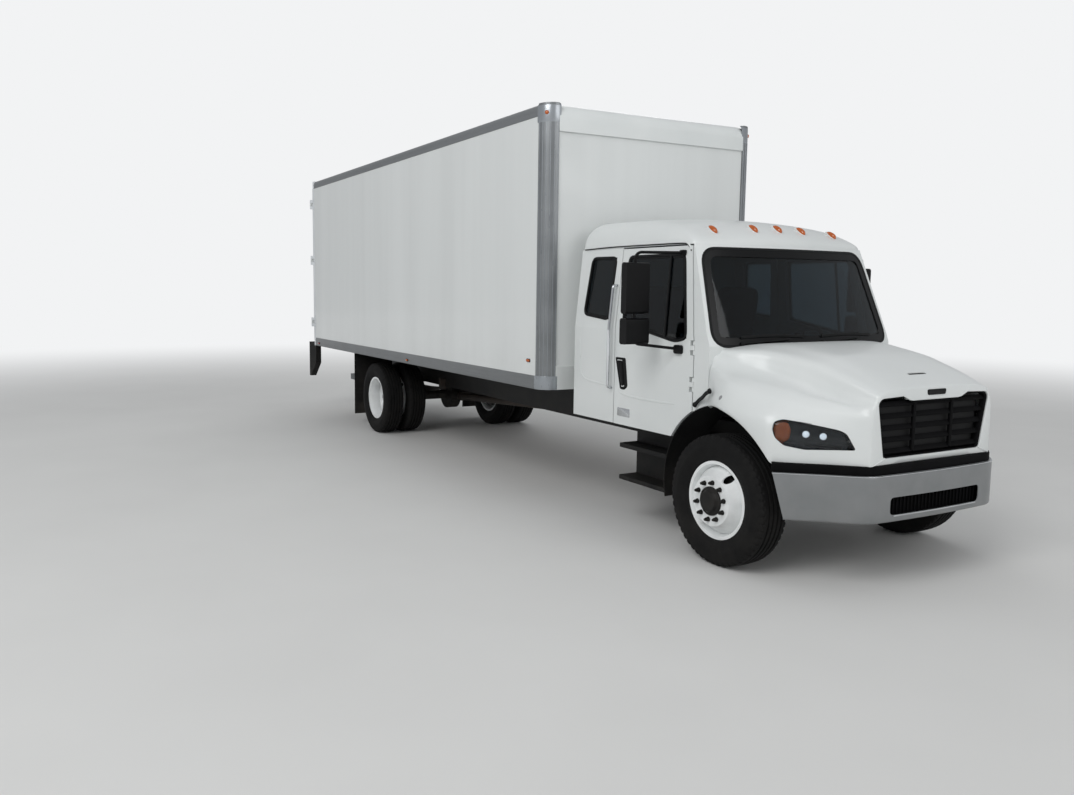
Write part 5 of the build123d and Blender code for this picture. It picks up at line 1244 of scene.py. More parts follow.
@dataclass
class Headlamp:
    """What lies behind the clear cover: a black bowl, two projectors, an amber turn lamp at the outer end."""

    side: int
    word: str
    depth: float = 0.075
    projectors: Pairs = ((0.263, 1.087), (0.377, 1.076))
    projector_radius: float = 0.022
    line: Pairs = (
        (0.037, 1.110), (0.050, 1.168), (0.105, 1.187), (0.281, 1.164), (0.474, 1.130), (0.522, 1.108),
        (0.586, 0.996), (0.254, 0.984), (0.114, 1.008), (0.055, 1.058),
    )
    turn_line: Pairs = (
        (0.050, 1.108), (0.062, 1.154), (0.105, 1.172), (0.146, 1.158), (0.164, 1.110), (0.154, 1.050),
        (0.118, 1.024), (0.088, 1.034), (0.064, 1.068),
    )

    def build(self) -> None:
        """Make the bowl, the projectors with lenses that glow as a painted highlight, and the amber
        reflector.
        """
        floor = ((0.022, -self.depth), (0.05, -self.depth - 0.004))
        rings = [
            lamp_points(lamp_outline(reduce), out, self.side)
            for reduce, out in ((-0.004, -0.004), (-0.004, -0.016), (0.006, -0.02), *floor)
        ]
        vertices, faces = stacked(rings)
        faces = [face for face in faces if len(face) == 4 or face[0] != len(rings[0]) - 1]
        replaces = ("headlamps",) if self.side > 0 else ()
        dress = ("hood", "lamp_lens")
        bowl = make_piece(f"headlamp_bowl_{self.word}", (vertices, faces), LAMP_BOWL, *dress, replaces, 35)
        thicken(bowl, 0.002)
        normal = (SWEEP_NORMAL[0], self.side * SWEEP_NORMAL[1], 0.0)
        spots = lamp_points(np.array(self.projectors), -0.066, self.side)
        places = [facing(spot, normal) for spot in spots]
        rim = circle(self.projector_radius, 28)
        barrel = prism(rim, ((1.25, 0.0), (1.25, 0.030), (1.12, 0.040), (1.02, 0.036)))
        make_piece(f"headlamp_projectors_{self.word}", scattered(barrel, places), CHROME, *dress)
        points, faces = dome(self.projector_radius, 0.020, 7, 28)
        lenses = scattered((points + (0, 0, 0.036), faces), places)
        make_piece(f"headlamp_lenses_{self.word}", lenses, PROJECTOR_GLASS_GLOWING_HIGHLIGHT, *dress)
        levels = ((1.0, -0.06), (1.0, -0.026), (0.92, -0.020), (0.5, -0.018))
        lamp = raised(lamp_points, rounded(self.turn_line, 0.014, 4), levels, self.side)
        make_piece(f"headlamp_turn_{self.word}", lamp, AMBER_LENS, "hood", "lamp_amber", smooth=50)


@dataclass
class Grille:
    """The black moulded grille: a frame that follows the opening, two posts and slanted louvres."""

    front: float = FRONT_X + 0.958
    post_half: float = 0.205
    louvre_rows: int = 5
    low: float = 0.975
    high: float = 1.306
    # how far outside the opening, how far ahead of the front
    frame_section: Pairs = (
        (-0.001, -0.040), (-0.001, -0.004), (-0.006, 0.0), (-0.022, -0.001), (-0.026, -0.006),
        (-0.028, -0.040),
    )

    def build(self) -> None:
        """Make the moulding, a black sheet of painted shade behind it, the blank bar above it and a black
        sheet of painted shade in the vent.
        """
        dress = ("hood", "grille_plastic")
        make_piece("grille_moulding", self.moulding(), FILLER_BLACK, *dress, ("hood_grille",), 35)
        # A black sheet behind the grille stands for the shade there: painted shade.
        screen = np.array([(-0.54, 0.955), (0.54, 0.955), (0.54, 1.30), (-0.54, 1.30)])
        back = self.front - 0.052
        make_piece("grille_painted_shade", prism(screen, ((1, back), (1, back - 0.004)), 0), OPENING_PAINTED_SHADE, *dress)
        bar = rounded([(-0.098, -0.020), (0.098, -0.020), (0.102, 0.020), (-0.102, 0.020)], 0.016, 6)
        levels = ((1.0, -0.006), (1.0, 0.005), (0.90, 0.008), (0.78, 0.006), (0.3, 0.006))
        bar = prism(bar, levels, 0, (NOSE_X, 0, 1.374))
        make_piece("nose_blank_badge", bar, SEAL_RUBBER, *dress, smooth=50)
        # A black sheet in the vent stands for the shade inside: painted shade.
        vent = box_section(0.196, 0.024, 0.45)[:, ::-1] + (Hood.vent_x, 0)
        make_piece("hood_vent_painted_shade", prism(vent, ((1, 1.455), (1, 1.484))), OPENING_PAINTED_SHADE, *dress)

    def moulding(self) -> Form:
        """Join the frame, the posts and the louvres, whose lower edges lean forward.

        Returns:
            The joined form.
        """
        line = rounded(Hood.grille_corners, Hood.grille_round, 8)
        lip = line - np.array(Hood.grille_middle)
        lip /= np.linalg.norm(lip, axis=1, keepdims=True)
        frame_rings = [np.insert(line + lip * grow, 0, self.front + x, 1) for grow, x in self.frame_section]
        parts = [looped(frame_rings)]
        post, inner = self.post_half, self.post_half - 0.008
        for y in (-post, post):
            path = np.linspace((self.front - 0.016, y, 0.968), (self.front - 0.016, y, 1.31), 12)
            parts.append(carried(path, box_section(0.030, 0.022), (1, 0, 0)))
        blade = box_section(0.016, 0.040, 0.4) @ np.array([[0.85, 0.53], [-0.53, 0.85]])
        for z in np.linspace(self.low, self.high, self.louvre_rows).tolist():
            reach = 0.508 + (z - 0.95) * 0.188
            for start, end in ((-reach, -post - 0.008), (-inner, inner), (post + 0.008, reach)):
                x = self.front - 0.024
                parts.append(carried(np.linspace((x, start, z), (x, end, z), 9), blade))
        return merged(parts)


@dataclass
class FrontBumper:
    """The pressed bumper, with a soft crease each side, rolled lips and a slot, and its filler strip."""

    top: float = 0.826
    height: float = 0.334
    half_path: Pairs = (
        (5.4275, 0.0), (5.423, 0.25), (5.411, 0.52), (5.378, 0.69), (5.190, 0.912), (4.979, 1.160),
    )
    # how far behind the face, z below the top
    section: Pairs = (
        (-0.055, -0.0050), (-0.020, -0.0005), (-0.008, -0.0020), (-0.002, -0.009), (0.0, -0.020),
        (0.0, -0.090), (0.0, -0.170), (0.0, -0.250), (0.0, -0.315), (-0.003, -0.325), (-0.012, -0.332),
        (-0.040, -0.333),
    )
    end_slant: float = 0.068
    slot_half: float = 0.486
    slot_low: float = 0.545
    slot_high: float = 0.668
    slot_round: float = 0.034
    bars: int = 25
    bars_x: float = 5.386
    shade_sheet_x: float = 5.366
    wall: float = 0.005

    def line(self, z: float, out: float = 0.0, count: int = 121) -> np.ndarray:
        """Follow the bumper's face from right to left at one height.

        The face's plan is a smooth curve by arc length; lower rows use less of it, so the ends slant.

        Args:
            z: the height.
            out: how far outside the face.
            count: points along the line.

        Returns:
            (count, 3) points.
        """
        half = eased(self.half_path, 80)
        share = 1 - self.end_slant * np.clip((self.top - z) / self.height, 0, 1)
        plan = walked(np.vstack([half[:0:-1] * (1, -1), half]), (np.linspace(-share, share, count) + 1) / 2)
        slope = np.gradient(plan, axis=0)
        normal = np.stack([slope[:, 1], -slope[:, 0]], 1) / np.linalg.norm(slope, axis=1, keepdims=True)
        return np.insert(plan + normal * out, 2, z, 1)

    def build(self) -> None:
        """Press the shell and cut its slot, then add the filler strip, bright strips of painted highlight
        along the top and under the slot, the bars and a black sheet of painted shade behind the slot.
        """
        rows = np.stack([self.line(self.top + drop, out) for out, drop in self.section])
        paint, plastic = ("chassis", "bumper_paint"), ("chassis", "step_plastic")
        form = (rows.reshape(-1, 3), grid_faces(*rows.shape[:2]))
        shell = make_piece("bumper_pressed", form, BUMPER_ENAMEL, *paint, ("front_bumper",), 40)
        thicken(shell, self.wall)
        half, low, high = self.slot_half, self.slot_low, self.slot_high
        hole = rounded([(-half, low), (half, low), (half, high), (-half, high)], self.slot_round, 8)
        cut_by(shell, prism(hole, ((1, 5.30), (1, 5.50)), 0))
        shell.data.set_sharp_from_angle(angle=math.radians(40))
        filler = carried(self.line(self.top + 0.028, -0.055), box_section(0.070, 0.072, 0.2))
        make_piece("bumper_filler_strip", filler, FILLER_BLACK, *plastic, smooth=35)
        # A bright strip along the top edge: painted highlight.
        lip = carried(self.line(self.top - 0.0045, -0.0035), box_section(0.010, 0.008, 0.4))
        make_piece("bumper_top_painted_highlight", lip, SATIN_METAL_AND_HIGHLIGHT, *paint, smooth=50)
        deep = (high - low) / 2 + 0.002
        bar = prism(box_section(0.012, 0.008), ((1, -deep), (1, deep)))
        reach, z = half - 0.02, (low + high) / 2
        places = np.linspace((self.bars_x, -reach, z), (self.bars_x, reach, z), self.bars)
        make_piece("bumper_slot_bars", scattered(bar, places), FILLER_BLACK, *plastic)
        # A black sheet behind the slot: painted shade.
        screen = np.array([(-0.62, 0.51), (0.62, 0.51), (0.62, 0.70), (-0.62, 0.70)])
        screen = prism(screen, ((1, self.shade_sheet_x), (1, self.shade_sheet_x - 0.004)), 0)
        make_piece("bumper_slot_painted_shade", screen, FILLER_BLACK, *plastic)
        # A bright strip along the slot's lower edge: painted highlight.
        edge = self.line(low - 0.006, -0.001)
        lip = carried(edge[np.abs(edge[:, 1]) < half - 0.03], box_section(0.012, 0.012, 0.4))
        make_piece("bumper_slot_painted_highlight", lip, SATIN_METAL_AND_HIGHLIGHT, *paint, smooth=50)


# ---------------------------------------------------------------- cab trim

# The windscreen's middle at its foot, its bow over a half width, and its rake as run over rise.
SCREEN_FOOT_X = FRONT_X - 0.235
SCREEN_FOOT_Z = 1.643
SCREEN_BOW = 0.095
SCREEN_BOW_HALF = 1.05
SCREEN_RAKE = 0.284 / 0.743
# The cab's flank: z, half width.
FLANK: Pairs = ((1.72, 1.030), (2.44, 0.955), (2.672, 0.800))


def screen_points(outline: np.ndarray, out: float, side: int = 1) -> np.ndarray:
    """Stand rows of (y, z) on the bowed, raked windscreen, moved ahead by `out`; it has no side."""
    y, z = outline.T
    x = SCREEN_FOOT_X + SCREEN_BOW * (1 - (y / SCREEN_BOW_HALF) ** 2) - SCREEN_RAKE * (z - SCREEN_FOOT_Z)
    return np.column_stack([x + out, y, z])


def flank_points(outline: np.ndarray, out: float, side: int) -> np.ndarray:
    """Stand rows of (x ahead of the axle, z) on the cab's flank, which leans in above the belt."""
    x, z = outline.T
    half = np.interp(z, *np.array(FLANK).T)
    return np.column_stack([FRONT_X + x, side * (half + out), z])


@dataclass
class Glazing:
    """Seals, printed borders and dividers of the windscreen, the door windows and the quarter windows."""

    screen: Pairs = ((-0.998, 1.642), (0.998, 1.642), (0.908, 2.408), (-0.908, 2.408))
    door: Pairs = (
        (-1.345, 1.790), (-1.345, 2.360), (-0.620, 2.360), (-0.500, 1.690), (-0.640, 1.660), (-1.020, 1.727),
    )
    quarter: Pairs = ((-1.954, 1.844), (-1.900, 2.361), (-1.530, 2.358), (-1.560, 1.805))
    # sections round an outline: how far inwards, how far out
    seal: Pairs = (
        (-0.012, -0.003), (-0.010, 0.004), (-0.004, 0.0065), (0.008, 0.0065), (0.012, 0.002), (0.012, -0.008),
    )
    screen_border: Pairs = ((0.0, 0.003), (0.066, 0.002), (0.070, -0.009), (0.0, -0.006))

    def ring(
        self, names: Sequence[str], stand: Stand, line: np.ndarray, border: Pairs, side: int, body: str
    ) -> None:
        """Make a window's seal and the printed border inside it.

        Args:
            names: the two pieces' names.
            stand: what puts the outline on the glass.
            line: the window's outline.
            border: the border's section.
            side: 1 for left, -1 for right.
            body: the body they ride on.
        """
        seal, frame_piece = (bead(stand, line, shape, side) for shape in (self.seal, border))
        make_piece(names[0], seal, SEAL_RUBBER, body, "cab_glass", smooth=50)
        make_piece(names[1], frame_piece, SCREEN_PRINT, body, "cab_glass", smooth=30)

    def build(self) -> None:
        """Make every ring of rubber and printed border, the door windows' dividers and the wipers."""
        line = evened(rounded(self.screen, 0.135, 12))
        names = ("windscreen_seal", "windscreen_border")
        self.ring(names, screen_points, line, self.screen_border, 1, "chassis")
        for side, word in SIDES:
            door_body = f"cab_door_{word}"
            for name, corners, radius, body, width in (
                ("door_window", self.door, 0.050, door_body, 0.026),
                ("quarter_window", self.quarter, 0.060, "chassis", 0.022),
            ):
                line = evened(rounded(corners, radius, 7), 120)
                border = ((-0.002, -0.001), (width, -0.001), (width, -0.008), (-0.002, -0.008))
                names = (f"{name}_seal_{word}", f"{name}_frame_{word}")
                self.ring(names, flank_points, line, border, side, body)
            z = np.linspace(1.676, 2.352, 14)
            middle = np.column_stack([np.interp(z, [1.67, 2.36], [-0.765, -0.790]), z])
            bar = carried(flank_points(middle, 0.001, side), box_section(0.012, 0.024), (1, 0, 0))
            make_piece(f"door_window_divider_{word}", bar, SEAL_RUBBER, door_body, "cab_glass", smooth=50)
        self.wipers()

    def wipers(self) -> None:
        """Lay two wiper arms with their blades along the foot of the windscreen."""
        parts = []
        lift = 1.708 + 0.012 * np.sin(np.linspace(0, np.pi, 24))
        for pivot, tip in ((0.10, 0.74), (-0.74, -0.10)):
            y = np.linspace(pivot, tip, 24)
            blade = screen_points(np.column_stack([y, lift]), 0.010)
            arm = screen_points(np.column_stack([y, np.linspace(1.664, 1.700, 24)]), 0.020)
            parts.append(carried(blade, box_section(0.010, 0.022, 0.4)))
            parts.append(carried(arm[:18], box_section(0.016, 0.012, 0.4)))
            hub = facing(arm[0] - (0.006, 0, 0.004), (0.8, 0, 0.6))
            parts.append(scattered(dome(0.018, 0.016, 4, 16), [hub]))
        make_piece("wipers", merged(parts), SEAL_RUBBER, "chassis", "cab_glass")


@dataclass
class CabRoof:
    """The moulded roof: rounded shoulders, a long brow over the windscreen, a low crown and drip rails."""

    half: float = 0.955
    seam: float = 2.440
    reach: float = 0.170
    power: float = 2.2
    front_share: float = 2.2
    rear_share: float = 0.6
    front: float = -0.444
    rear: float = float(place_of("cab_roof")[0][0]) - FRONT_X
    # x ahead of the axle, z
    drip_line: Pairs = (
        (rear + 0.05, 2.452), (-1.60, 2.462), (-1.10, 2.462), (-0.66, 2.458), (-0.585, 2.440),
        (-0.553, 2.395),
    )

    def crest(self, x: np.ndarray, y: np.ndarray) -> np.ndarray:
        """Height of the roof's crown: 2.683 - 0.072 u^3 along it, plus 0.045 (1 - (y / 0.8)^2) across."""
        return 2.683 - 0.072 * np.clip((x + 2.0) / 1.2, 0, None) ** 3 + 0.045 * (1 - (y / 0.8) ** 2)

    def height(self, x: np.ndarray, y: np.ndarray, inset: float | np.ndarray) -> np.ndarray:
        """Height of the shoulder: (1 - (1 - run inwards)^n)^(1/n) of the way from the seam to the crown."""
        share = (1 - (1 - inset / self.reach) ** self.power) ** (1 / self.power)
        return self.seam + (self.crest(x, y) - self.seam) * share

    def brow(self, x: float, y: float) -> float:
        """Return the brow's height at a place ahead of the axle, for what stands on it."""
        run = (self.front - SCREEN_BOW * (y / SCREEN_BOW_HALF) ** 2 - x) / self.front_share
        return float(self.height(x, y, np.clip(run, 0, self.reach)))

    def ring(self, inset: float) -> np.ndarray:
        """Lay out the roof's plan at one level.

        Args:
            inset: how far inwards of the seam it lies.

        Returns:
            (200, 2) rows of x ahead of the axle, and y.
        """
        rear, half = self.rear + self.rear_share * inset, self.half - inset
        front = self.front - self.front_share * inset
        corners = [(rear, -half), (front, -half), (front, half), (rear, half)]
        outline = evened(rounded(corners, 0.045 + 0.6 * inset, 9), 200)
        lead = np.clip((outline[:, 0] - rear) / (front - rear), 0, 1) ** 3
        outline[:, 0] -= SCREEN_BOW * (outline[:, 1] / SCREEN_BOW_HALF) ** 2 * lead
        return outline

    def build(self) -> None:
        """Raise the shoulder rings, close them over the crown, and add the drip rails, each with a black
        strip of painted shadow under it.
        """
        rings = []
        for turn in np.linspace(0, np.pi / 2, 14).tolist():
            inset = self.reach * (1 - math.cos(turn))
            flat = self.ring(inset)
            rings.append(np.column_stack([flat, self.height(*flat.T, inset)]))
        for share in (0.12, 0.28, 0.46, 0.64, 0.82, 0.97):
            place = shrunk(flat, 1 - share)
            rings.append(np.column_stack([place, self.crest(*place.T)]))
        cap = stacked(np.stack(rings) + (FRONT_X, 0, 0))
        make_piece("cab_roof_moulded", cap, CAB_ENAMEL, "chassis", "cab_paint", ("cab_roof",), 50)
        line = eased(self.drip_line, 50) + (FRONT_X, 0)
        for side, word in SIDES:
            run = np.insert(line, 1, side * (self.half + 0.006), 1)
            rail = carried(run, box_section(0.016, 0.014, 0.4))
            make_piece(f"drip_rail_{word}", rail, CAB_ENAMEL, "chassis", "cab_paint", smooth=50)
            # A black strip under each rail: painted shadow.
            shade = carried(run - (0, side * 0.001, 0.011), box_section(0.012, 0.008, 0.3))
            make_piece(f"drip_painted_shadow_{word}", shade, SEAL_RUBBER, "chassis", "cab_paint", smooth=50)


@dataclass
class CabFittings:
    """Roof lamps, hood latches, pressed swages, fender lamps, door handles and blank badge plates."""

    roof_lamps: Pairs = ((-0.585, 0.0), (-0.585, 0.276), (-0.585, -0.276), (-0.614, 0.690), (-0.614, -0.690))
    brow_slope: float = math.radians(36)
    latch: tuple[tuple[float, float, float], ...] = (
        (-0.352, 1.050, 1.180), (-0.300, 1.056, 1.222), (-0.235, 1.082, 1.252), (-0.170, 1.108, 1.290),
        (-0.111, 1.124, 1.316),
    )
    cab_swage: Pairs = (
        (-1.985, 1.62), (-1.985, 1.36), (-1.95, 1.27), (-1.87, 1.235), (-1.70, 1.222), (-1.53, 1.212),
    )
    door_swage: Pairs = ((-1.40, 1.195), (-1.34, 1.165), (-1.22, 1.150), (-0.90, 1.145), (-0.62, 1.152))
    pocket: Pairs = ((-1.423, 1.470), (-1.285, 1.470), (-1.250, 1.235), (-1.290, 1.205), (-1.350, 1.205))
    pull: Pairs = ((-1.400, 1.452), (-1.330, 1.452), (-1.298, 1.236), (-1.335, 1.226))
    plate: Pairs = ((-1.384, 0.961), (-1.206, 0.961), (-1.206, 1.034), (-1.384, 1.034))

    def build(self) -> None:
        """Make the teardrop roof lamps and the fittings of both sides."""
        foot = circle(1.0, 24) * (0.050, 0.024)
        foot[:, 0] *= np.where(foot[:, 0] < 0, 1.35, 1)
        rise = np.linspace(0, DOME_RISE, 7)
        lens = prism(foot, np.column_stack([np.cos(rise), 0.034 * np.sin(rise)]))
        lens[0][:, 0] += np.repeat(0.010 * np.sin(rise), len(foot))
        base = prism(foot, ((1.16, -0.02), (1.16, 0.0), (1.04, 0.006)))
        places = []
        for x, y in self.roof_lamps:
            place = np.array(Matrix.Rotation(self.brow_slope, 4, "Y"))
            place[:3, 3] = (FRONT_X + x, y, CabRoof().brow(x, y) + 0.002)
            places.append(place)
        make_piece("roof_lamp_bases", scattered(base, places), CAB_ENAMEL, "chassis", "cab_paint")
        lenses = scattered(lens, places)
        make_piece("roof_lamp_lenses", lenses, AMBER_LENS, "chassis", "lamp_amber", smooth=60)
        for side, word in SIDES:
            self.side_fittings(side, word)

    def side_fittings(self, side: int, word: str) -> None:
        """Make one side's latch, swages, fender lamp, handle and blank badge plate.

        Args:
            side: 1 for left, -1 for right.
            word: the side's name.
        """
        door = f"cab_door_{word}"
        latch = eased(self.latch, 18) * (1, side, 1) + (FRONT_X, 0, 0)
        knobs = scattered(dome(0.022, 0.018, 4, 16), [facing(latch[k], (0, side, 0)) for k in (0, 17)])
        strap = merged([carried(latch, box_section(0.014, 0.030, 0.35)), knobs])
        make_piece(f"hood_latch_{word}", strap, SEAL_RUBBER, "hood", "liner_plastic", smooth=50)
        taper = np.sin(np.linspace(0.02, np.pi - 0.02, 60)) ** 0.25
        section = box_section(0.007, 0.020, 0.45) * taper[:, None, None]
        for name, body, line in (("cab", "chassis", self.cab_swage), ("door", door, self.door_swage)):
            swage = carried(flank_points(eased(line, 60), 0.0, side), section)
            make_piece(f"{name}_swage_{word}", swage, CAB_ENAMEL, body, "cab_paint", smooth=60)
        place = facing((FRONT_X + 0.034, side * 1.137, 1.272), (0, side, 0.06))
        lamp = scattered(dome(0.030, 0.010, 5, 28), [place])
        make_piece(f"fender_lamp_{word}", lamp, REFLECTOR, "hood", "lamp_lens", smooth=50)
        for name, finish, slot, smooth, corners, radius, steps, levels in (
            ("handle_pocket", BLACK_MOULDING, "mirror_plastic", 35, self.pocket, 0.018, 5,
             ((1.07, -0.002), (1.05, 0.0025), (0.99, 0.0025), (0.95, -0.012), (0.2, -0.013))),
            ("handle_pull", GLOSS_ABS, "mirror_plastic", 50, self.pull, 0.014, 4,
             ((1.0, -0.010), (1.0, 0.002), (0.9, 0.0055), (0.4, 0.0062))),
            ("blank_badge", SATIN_METAL_AND_HIGHLIGHT, "handle_chrome", 50, self.plate, 0.008, 4,
             ((1.0, -0.001), (1.0, 0.002), (0.97, 0.0035))),
        ):
            form = raised(flank_points, rounded(corners, radius, steps), levels, side)
            make_piece(f"door_{name}_{word}", form, finish, door, slot, smooth=smooth)


# ---------------------------------------------------------------- cargo body


@dataclass
class CargoBody:
    """Rivets, rail ribs, post ribs and castings, marker and tail lamps, lock rods."""

    rivet_pitch: float = 0.1016
    rivet_rows: tuple[float, ...] = (1.219, 3.706)
    rail_ribs: Pairs = ((1.112, 0.006), (1.150, 0.004), (1.196, 0.004), (3.695, 0.004), (3.742, 0.005))
    post_radius: float = 0.144
    post_ribs: tuple[int, ...] = (8, 24, 40, 56, 72, 86)
    rod_places: tuple[float, ...] = (0.16, 0.78)
    guide_places: tuple[float, ...] = (1.30, 1.92, 2.55, 3.20, 3.60)
    rod_ends: tuple[float, float] = (1.262, 3.635)
    casting_feet: tuple[float, float] = (3.630, 1.105)
    post_lamp: tuple[float, float, float] = (math.radians(40), 0.146, 3.715)
    # half widths of the tail, brake and reversing lamps, and their height
    tail_lamp_rows: tuple[float, float, float] = (1.10, 0.98, 0.86)
    tail_lamp_z: float = 1.148

    def build(self) -> None:
        """Make every fitting of the cargo body."""
        self.rivets_and_ribs()
        self.castings()
        self.marker_lamps()
        self.tail_lamps()
        self.lock_rods()

    def rivets_and_ribs(self) -> None:
        """Rivet the side panels to the rails at one pitch, and rib the rails and the corner posts."""
        end = BODY_FRONT_X - self.post_radius
        x = np.arange(BODY_REAR_X + 0.12, end - 0.03, self.rivet_pitch)
        points, faces = dome(0.0055, 0.0022, 3, 8)
        rivets, rails, posts = [], [], []
        for side, _ in SIDES:
            head = (points @ np.array(Matrix.Rotation(math.radians(-90 * side), 3, "X")).T, faces)
            for z in self.rivet_rows:
                rivets.append(scattered(head, [(at, side * (BODY_HALF - 0.0005), z) for at in x.tolist()]))
            for z, height in self.rail_ribs:
                path = [(at, side * BODY_HALF, z) for at in (BODY_REAR_X + 0.08, end)]
                rails.append(carried(path, box_section(0.004, height, 0.3)))
            for degrees in self.post_ribs:
                x_y = self.on_post(math.radians(degrees), self.post_radius, side)
                posts.append(carried([(*x_y, 1.24), (*x_y, 3.64)], circle(0.0032, 8), (1, 0, 0)))
        dress = ("chassis", "rail_aluminium")
        make_piece("panel_rivets", merged(rivets), RAIL_ALUMINIUM, *dress, smooth=50)
        make_piece("rail_ribs", merged(rails), RAIL_ALUMINIUM, *dress)
        make_piece("post_ribs", merged(posts), POST_ALUMINIUM, *dress, smooth=50)

    def on_post(self, turn: float | np.ndarray, radius: float | np.ndarray, side: int) -> tuple:
        """Return x and y at an angle and radius about a corner post's middle, the angle from the side."""
        x = BODY_FRONT_X - self.post_radius + np.sin(turn) * radius
        return x, side * (BODY_HALF - self.post_radius + np.cos(turn) * radius)

    def castings(self) -> None:
        """Cap each corner post with quarter-round castings, the upper one closed in and with a lamp."""
        turned = np.linspace(-0.12, np.pi / 2 + 0.12, 22)[:, None]
        outer, inner = ((0.1447, 0.0), (0.1455, 0.003)), 0.138
        crown = ((0.1455, 0.1485), (0.141, 0.1665), (0.126, 0.1785), (0.100, 0.1785), (0.136, 0.1485))
        upper = (*outer, *crown, (inner, 0.0))
        lower = (*outer, (0.1455, 0.128), (0.1447, 0.131), (inner, 0.131), (inner, 0.0))
        parts, lamps = [], []
        for side, _ in SIDES:
            for foot, shape in zip(self.casting_feet, (upper, lower)):
                radius, rise = np.array(shape).T
                x, y = self.on_post(turned, radius, side)
                x, y = np.minimum(x, CAP_FRONT_X), side * np.minimum(np.abs(y), BODY_HALF + 0.003)
                parts.append(stacked(np.stack([x, y, np.broadcast_to(foot + rise, x.shape)], -1)))
            turn, radius, z = self.post_lamp
            outward = (math.sin(turn), side * math.cos(turn), 0)
            lamps.append(facing((*self.on_post(turn, radius, side), z), outward))
        make_piece("post_castings", merged(parts), POST_ALUMINIUM, "chassis", "rail_aluminium")
        lenses = scattered(dome(0.020, 0.012, 5, 20), lamps)
        make_piece("post_marker_lamps", lenses, AMBER_LENS, "chassis", "lamp_amber", smooth=50)

    def marker_lamps(self) -> None:
        """Set marker lamps on the side panels and the lower rails."""
        amber, red = (
            [
                facing((x, side * (BODY_HALF + out), z), (0, side, 0))
                for side, _ in SIDES
                for x, z, out in spots
            ]
            for spots in (
                ((BODY_FRONT_X - 0.277, 1.375, -0.003), (-1.144, 1.150, 0.0)),
                ((BODY_REAR_X + 0.298, 1.150, 0.0),),
            )
        )
        dress = ("chassis", "lamp_amber")
        case = prism(box_section(0.074, 0.034, 0.4), ((1.0, -0.002), (1.0, 0.004), (0.9, 0.006)))
        cases = scattered(case, amber + red)
        make_piece("marker_lamp_cases", cases, SEAL_RUBBER, *dress, ("body_lamps",), 40)
        lens = prism(box_section(0.062, 0.024, 0.4), ((1.0, 0.004), (0.96, 0.012), (0.7, 0.015)))
        make_piece("marker_lamps_amber", scattered(lens, amber), AMBER_LENS, *dress, smooth=50)
        make_piece("marker_lamps_red", scattered(lens, red), RED_LENS, *dress, smooth=50)

    def tail_lamps(self) -> None:
        """Set tail, brake and reversing lamps in the rear sill, outermost first."""
        tail, brake, clear = (
            [facing((BODY_REAR_X - 0.001, side * y, self.tail_lamp_z), (-1, 0, 0)) for side, _ in SIDES]
            for y in self.tail_lamp_rows
        )
        dress = ("chassis", "lamp_amber")
        rim = prism(circle(1.0, 28), ((0.052, -0.004), (0.052, 0.006), (0.044, 0.009)))
        make_piece("tail_lamp_rims", scattered(rim, tail + brake + clear), SEAL_RUBBER, *dress)
        glass = dome(0.043, 0.014, 5, 28)
        make_piece("tail_lamps_red", scattered(glass, tail + brake), RED_LENS, *dress, smooth=50)
        make_piece("tail_lamps_clear", scattered(glass, clear), REFLECTOR, *dress, smooth=50)

    def lock_rods(self) -> None:
        """Fit each rear door with two flat lock rods, their guides and a handle."""
        for side, word in SIDES:
            face = max(float(place_of(f"rear_door_{word}")[0][0]), BODY_REAR_X - 0.047)
            parts = []
            for y in self.rod_places:
                rod = [(face - 0.0035, side * y, z) for z in self.rod_ends]
                parts.append(carried(rod, box_section(0.026, 0.007, 0.4), (1, 0, 0)))
                for z in self.guide_places:
                    guide = [(face - 0.004, side * y + shift, z) for shift in (-0.03, 0.03)]
                    parts.append(carried(guide, box_section(0.009, 0.030, 0.3)))
                handle = [(face - 0.0045, side * y, 1.62), (face - 0.0045, side * (y + 0.30), 1.60)]
                parts.append(carried(handle, box_section(0.008, 0.030, 0.4)))
            name, body = f"rear_lock_rods_{word}", f"cargo_door_{word}"
            make_piece(name, merged(parts), GALVANISED, body, "rear_door_panel")


# ---------------------------------------------------------------- inside the cab


def squared(angle: np.ndarray, power: float) -> np.ndarray:
    """Return the cosine raised to a power with its sign kept."""
    return np.sign(np.cos(angle)) * np.abs(np.cos(angle)) ** power


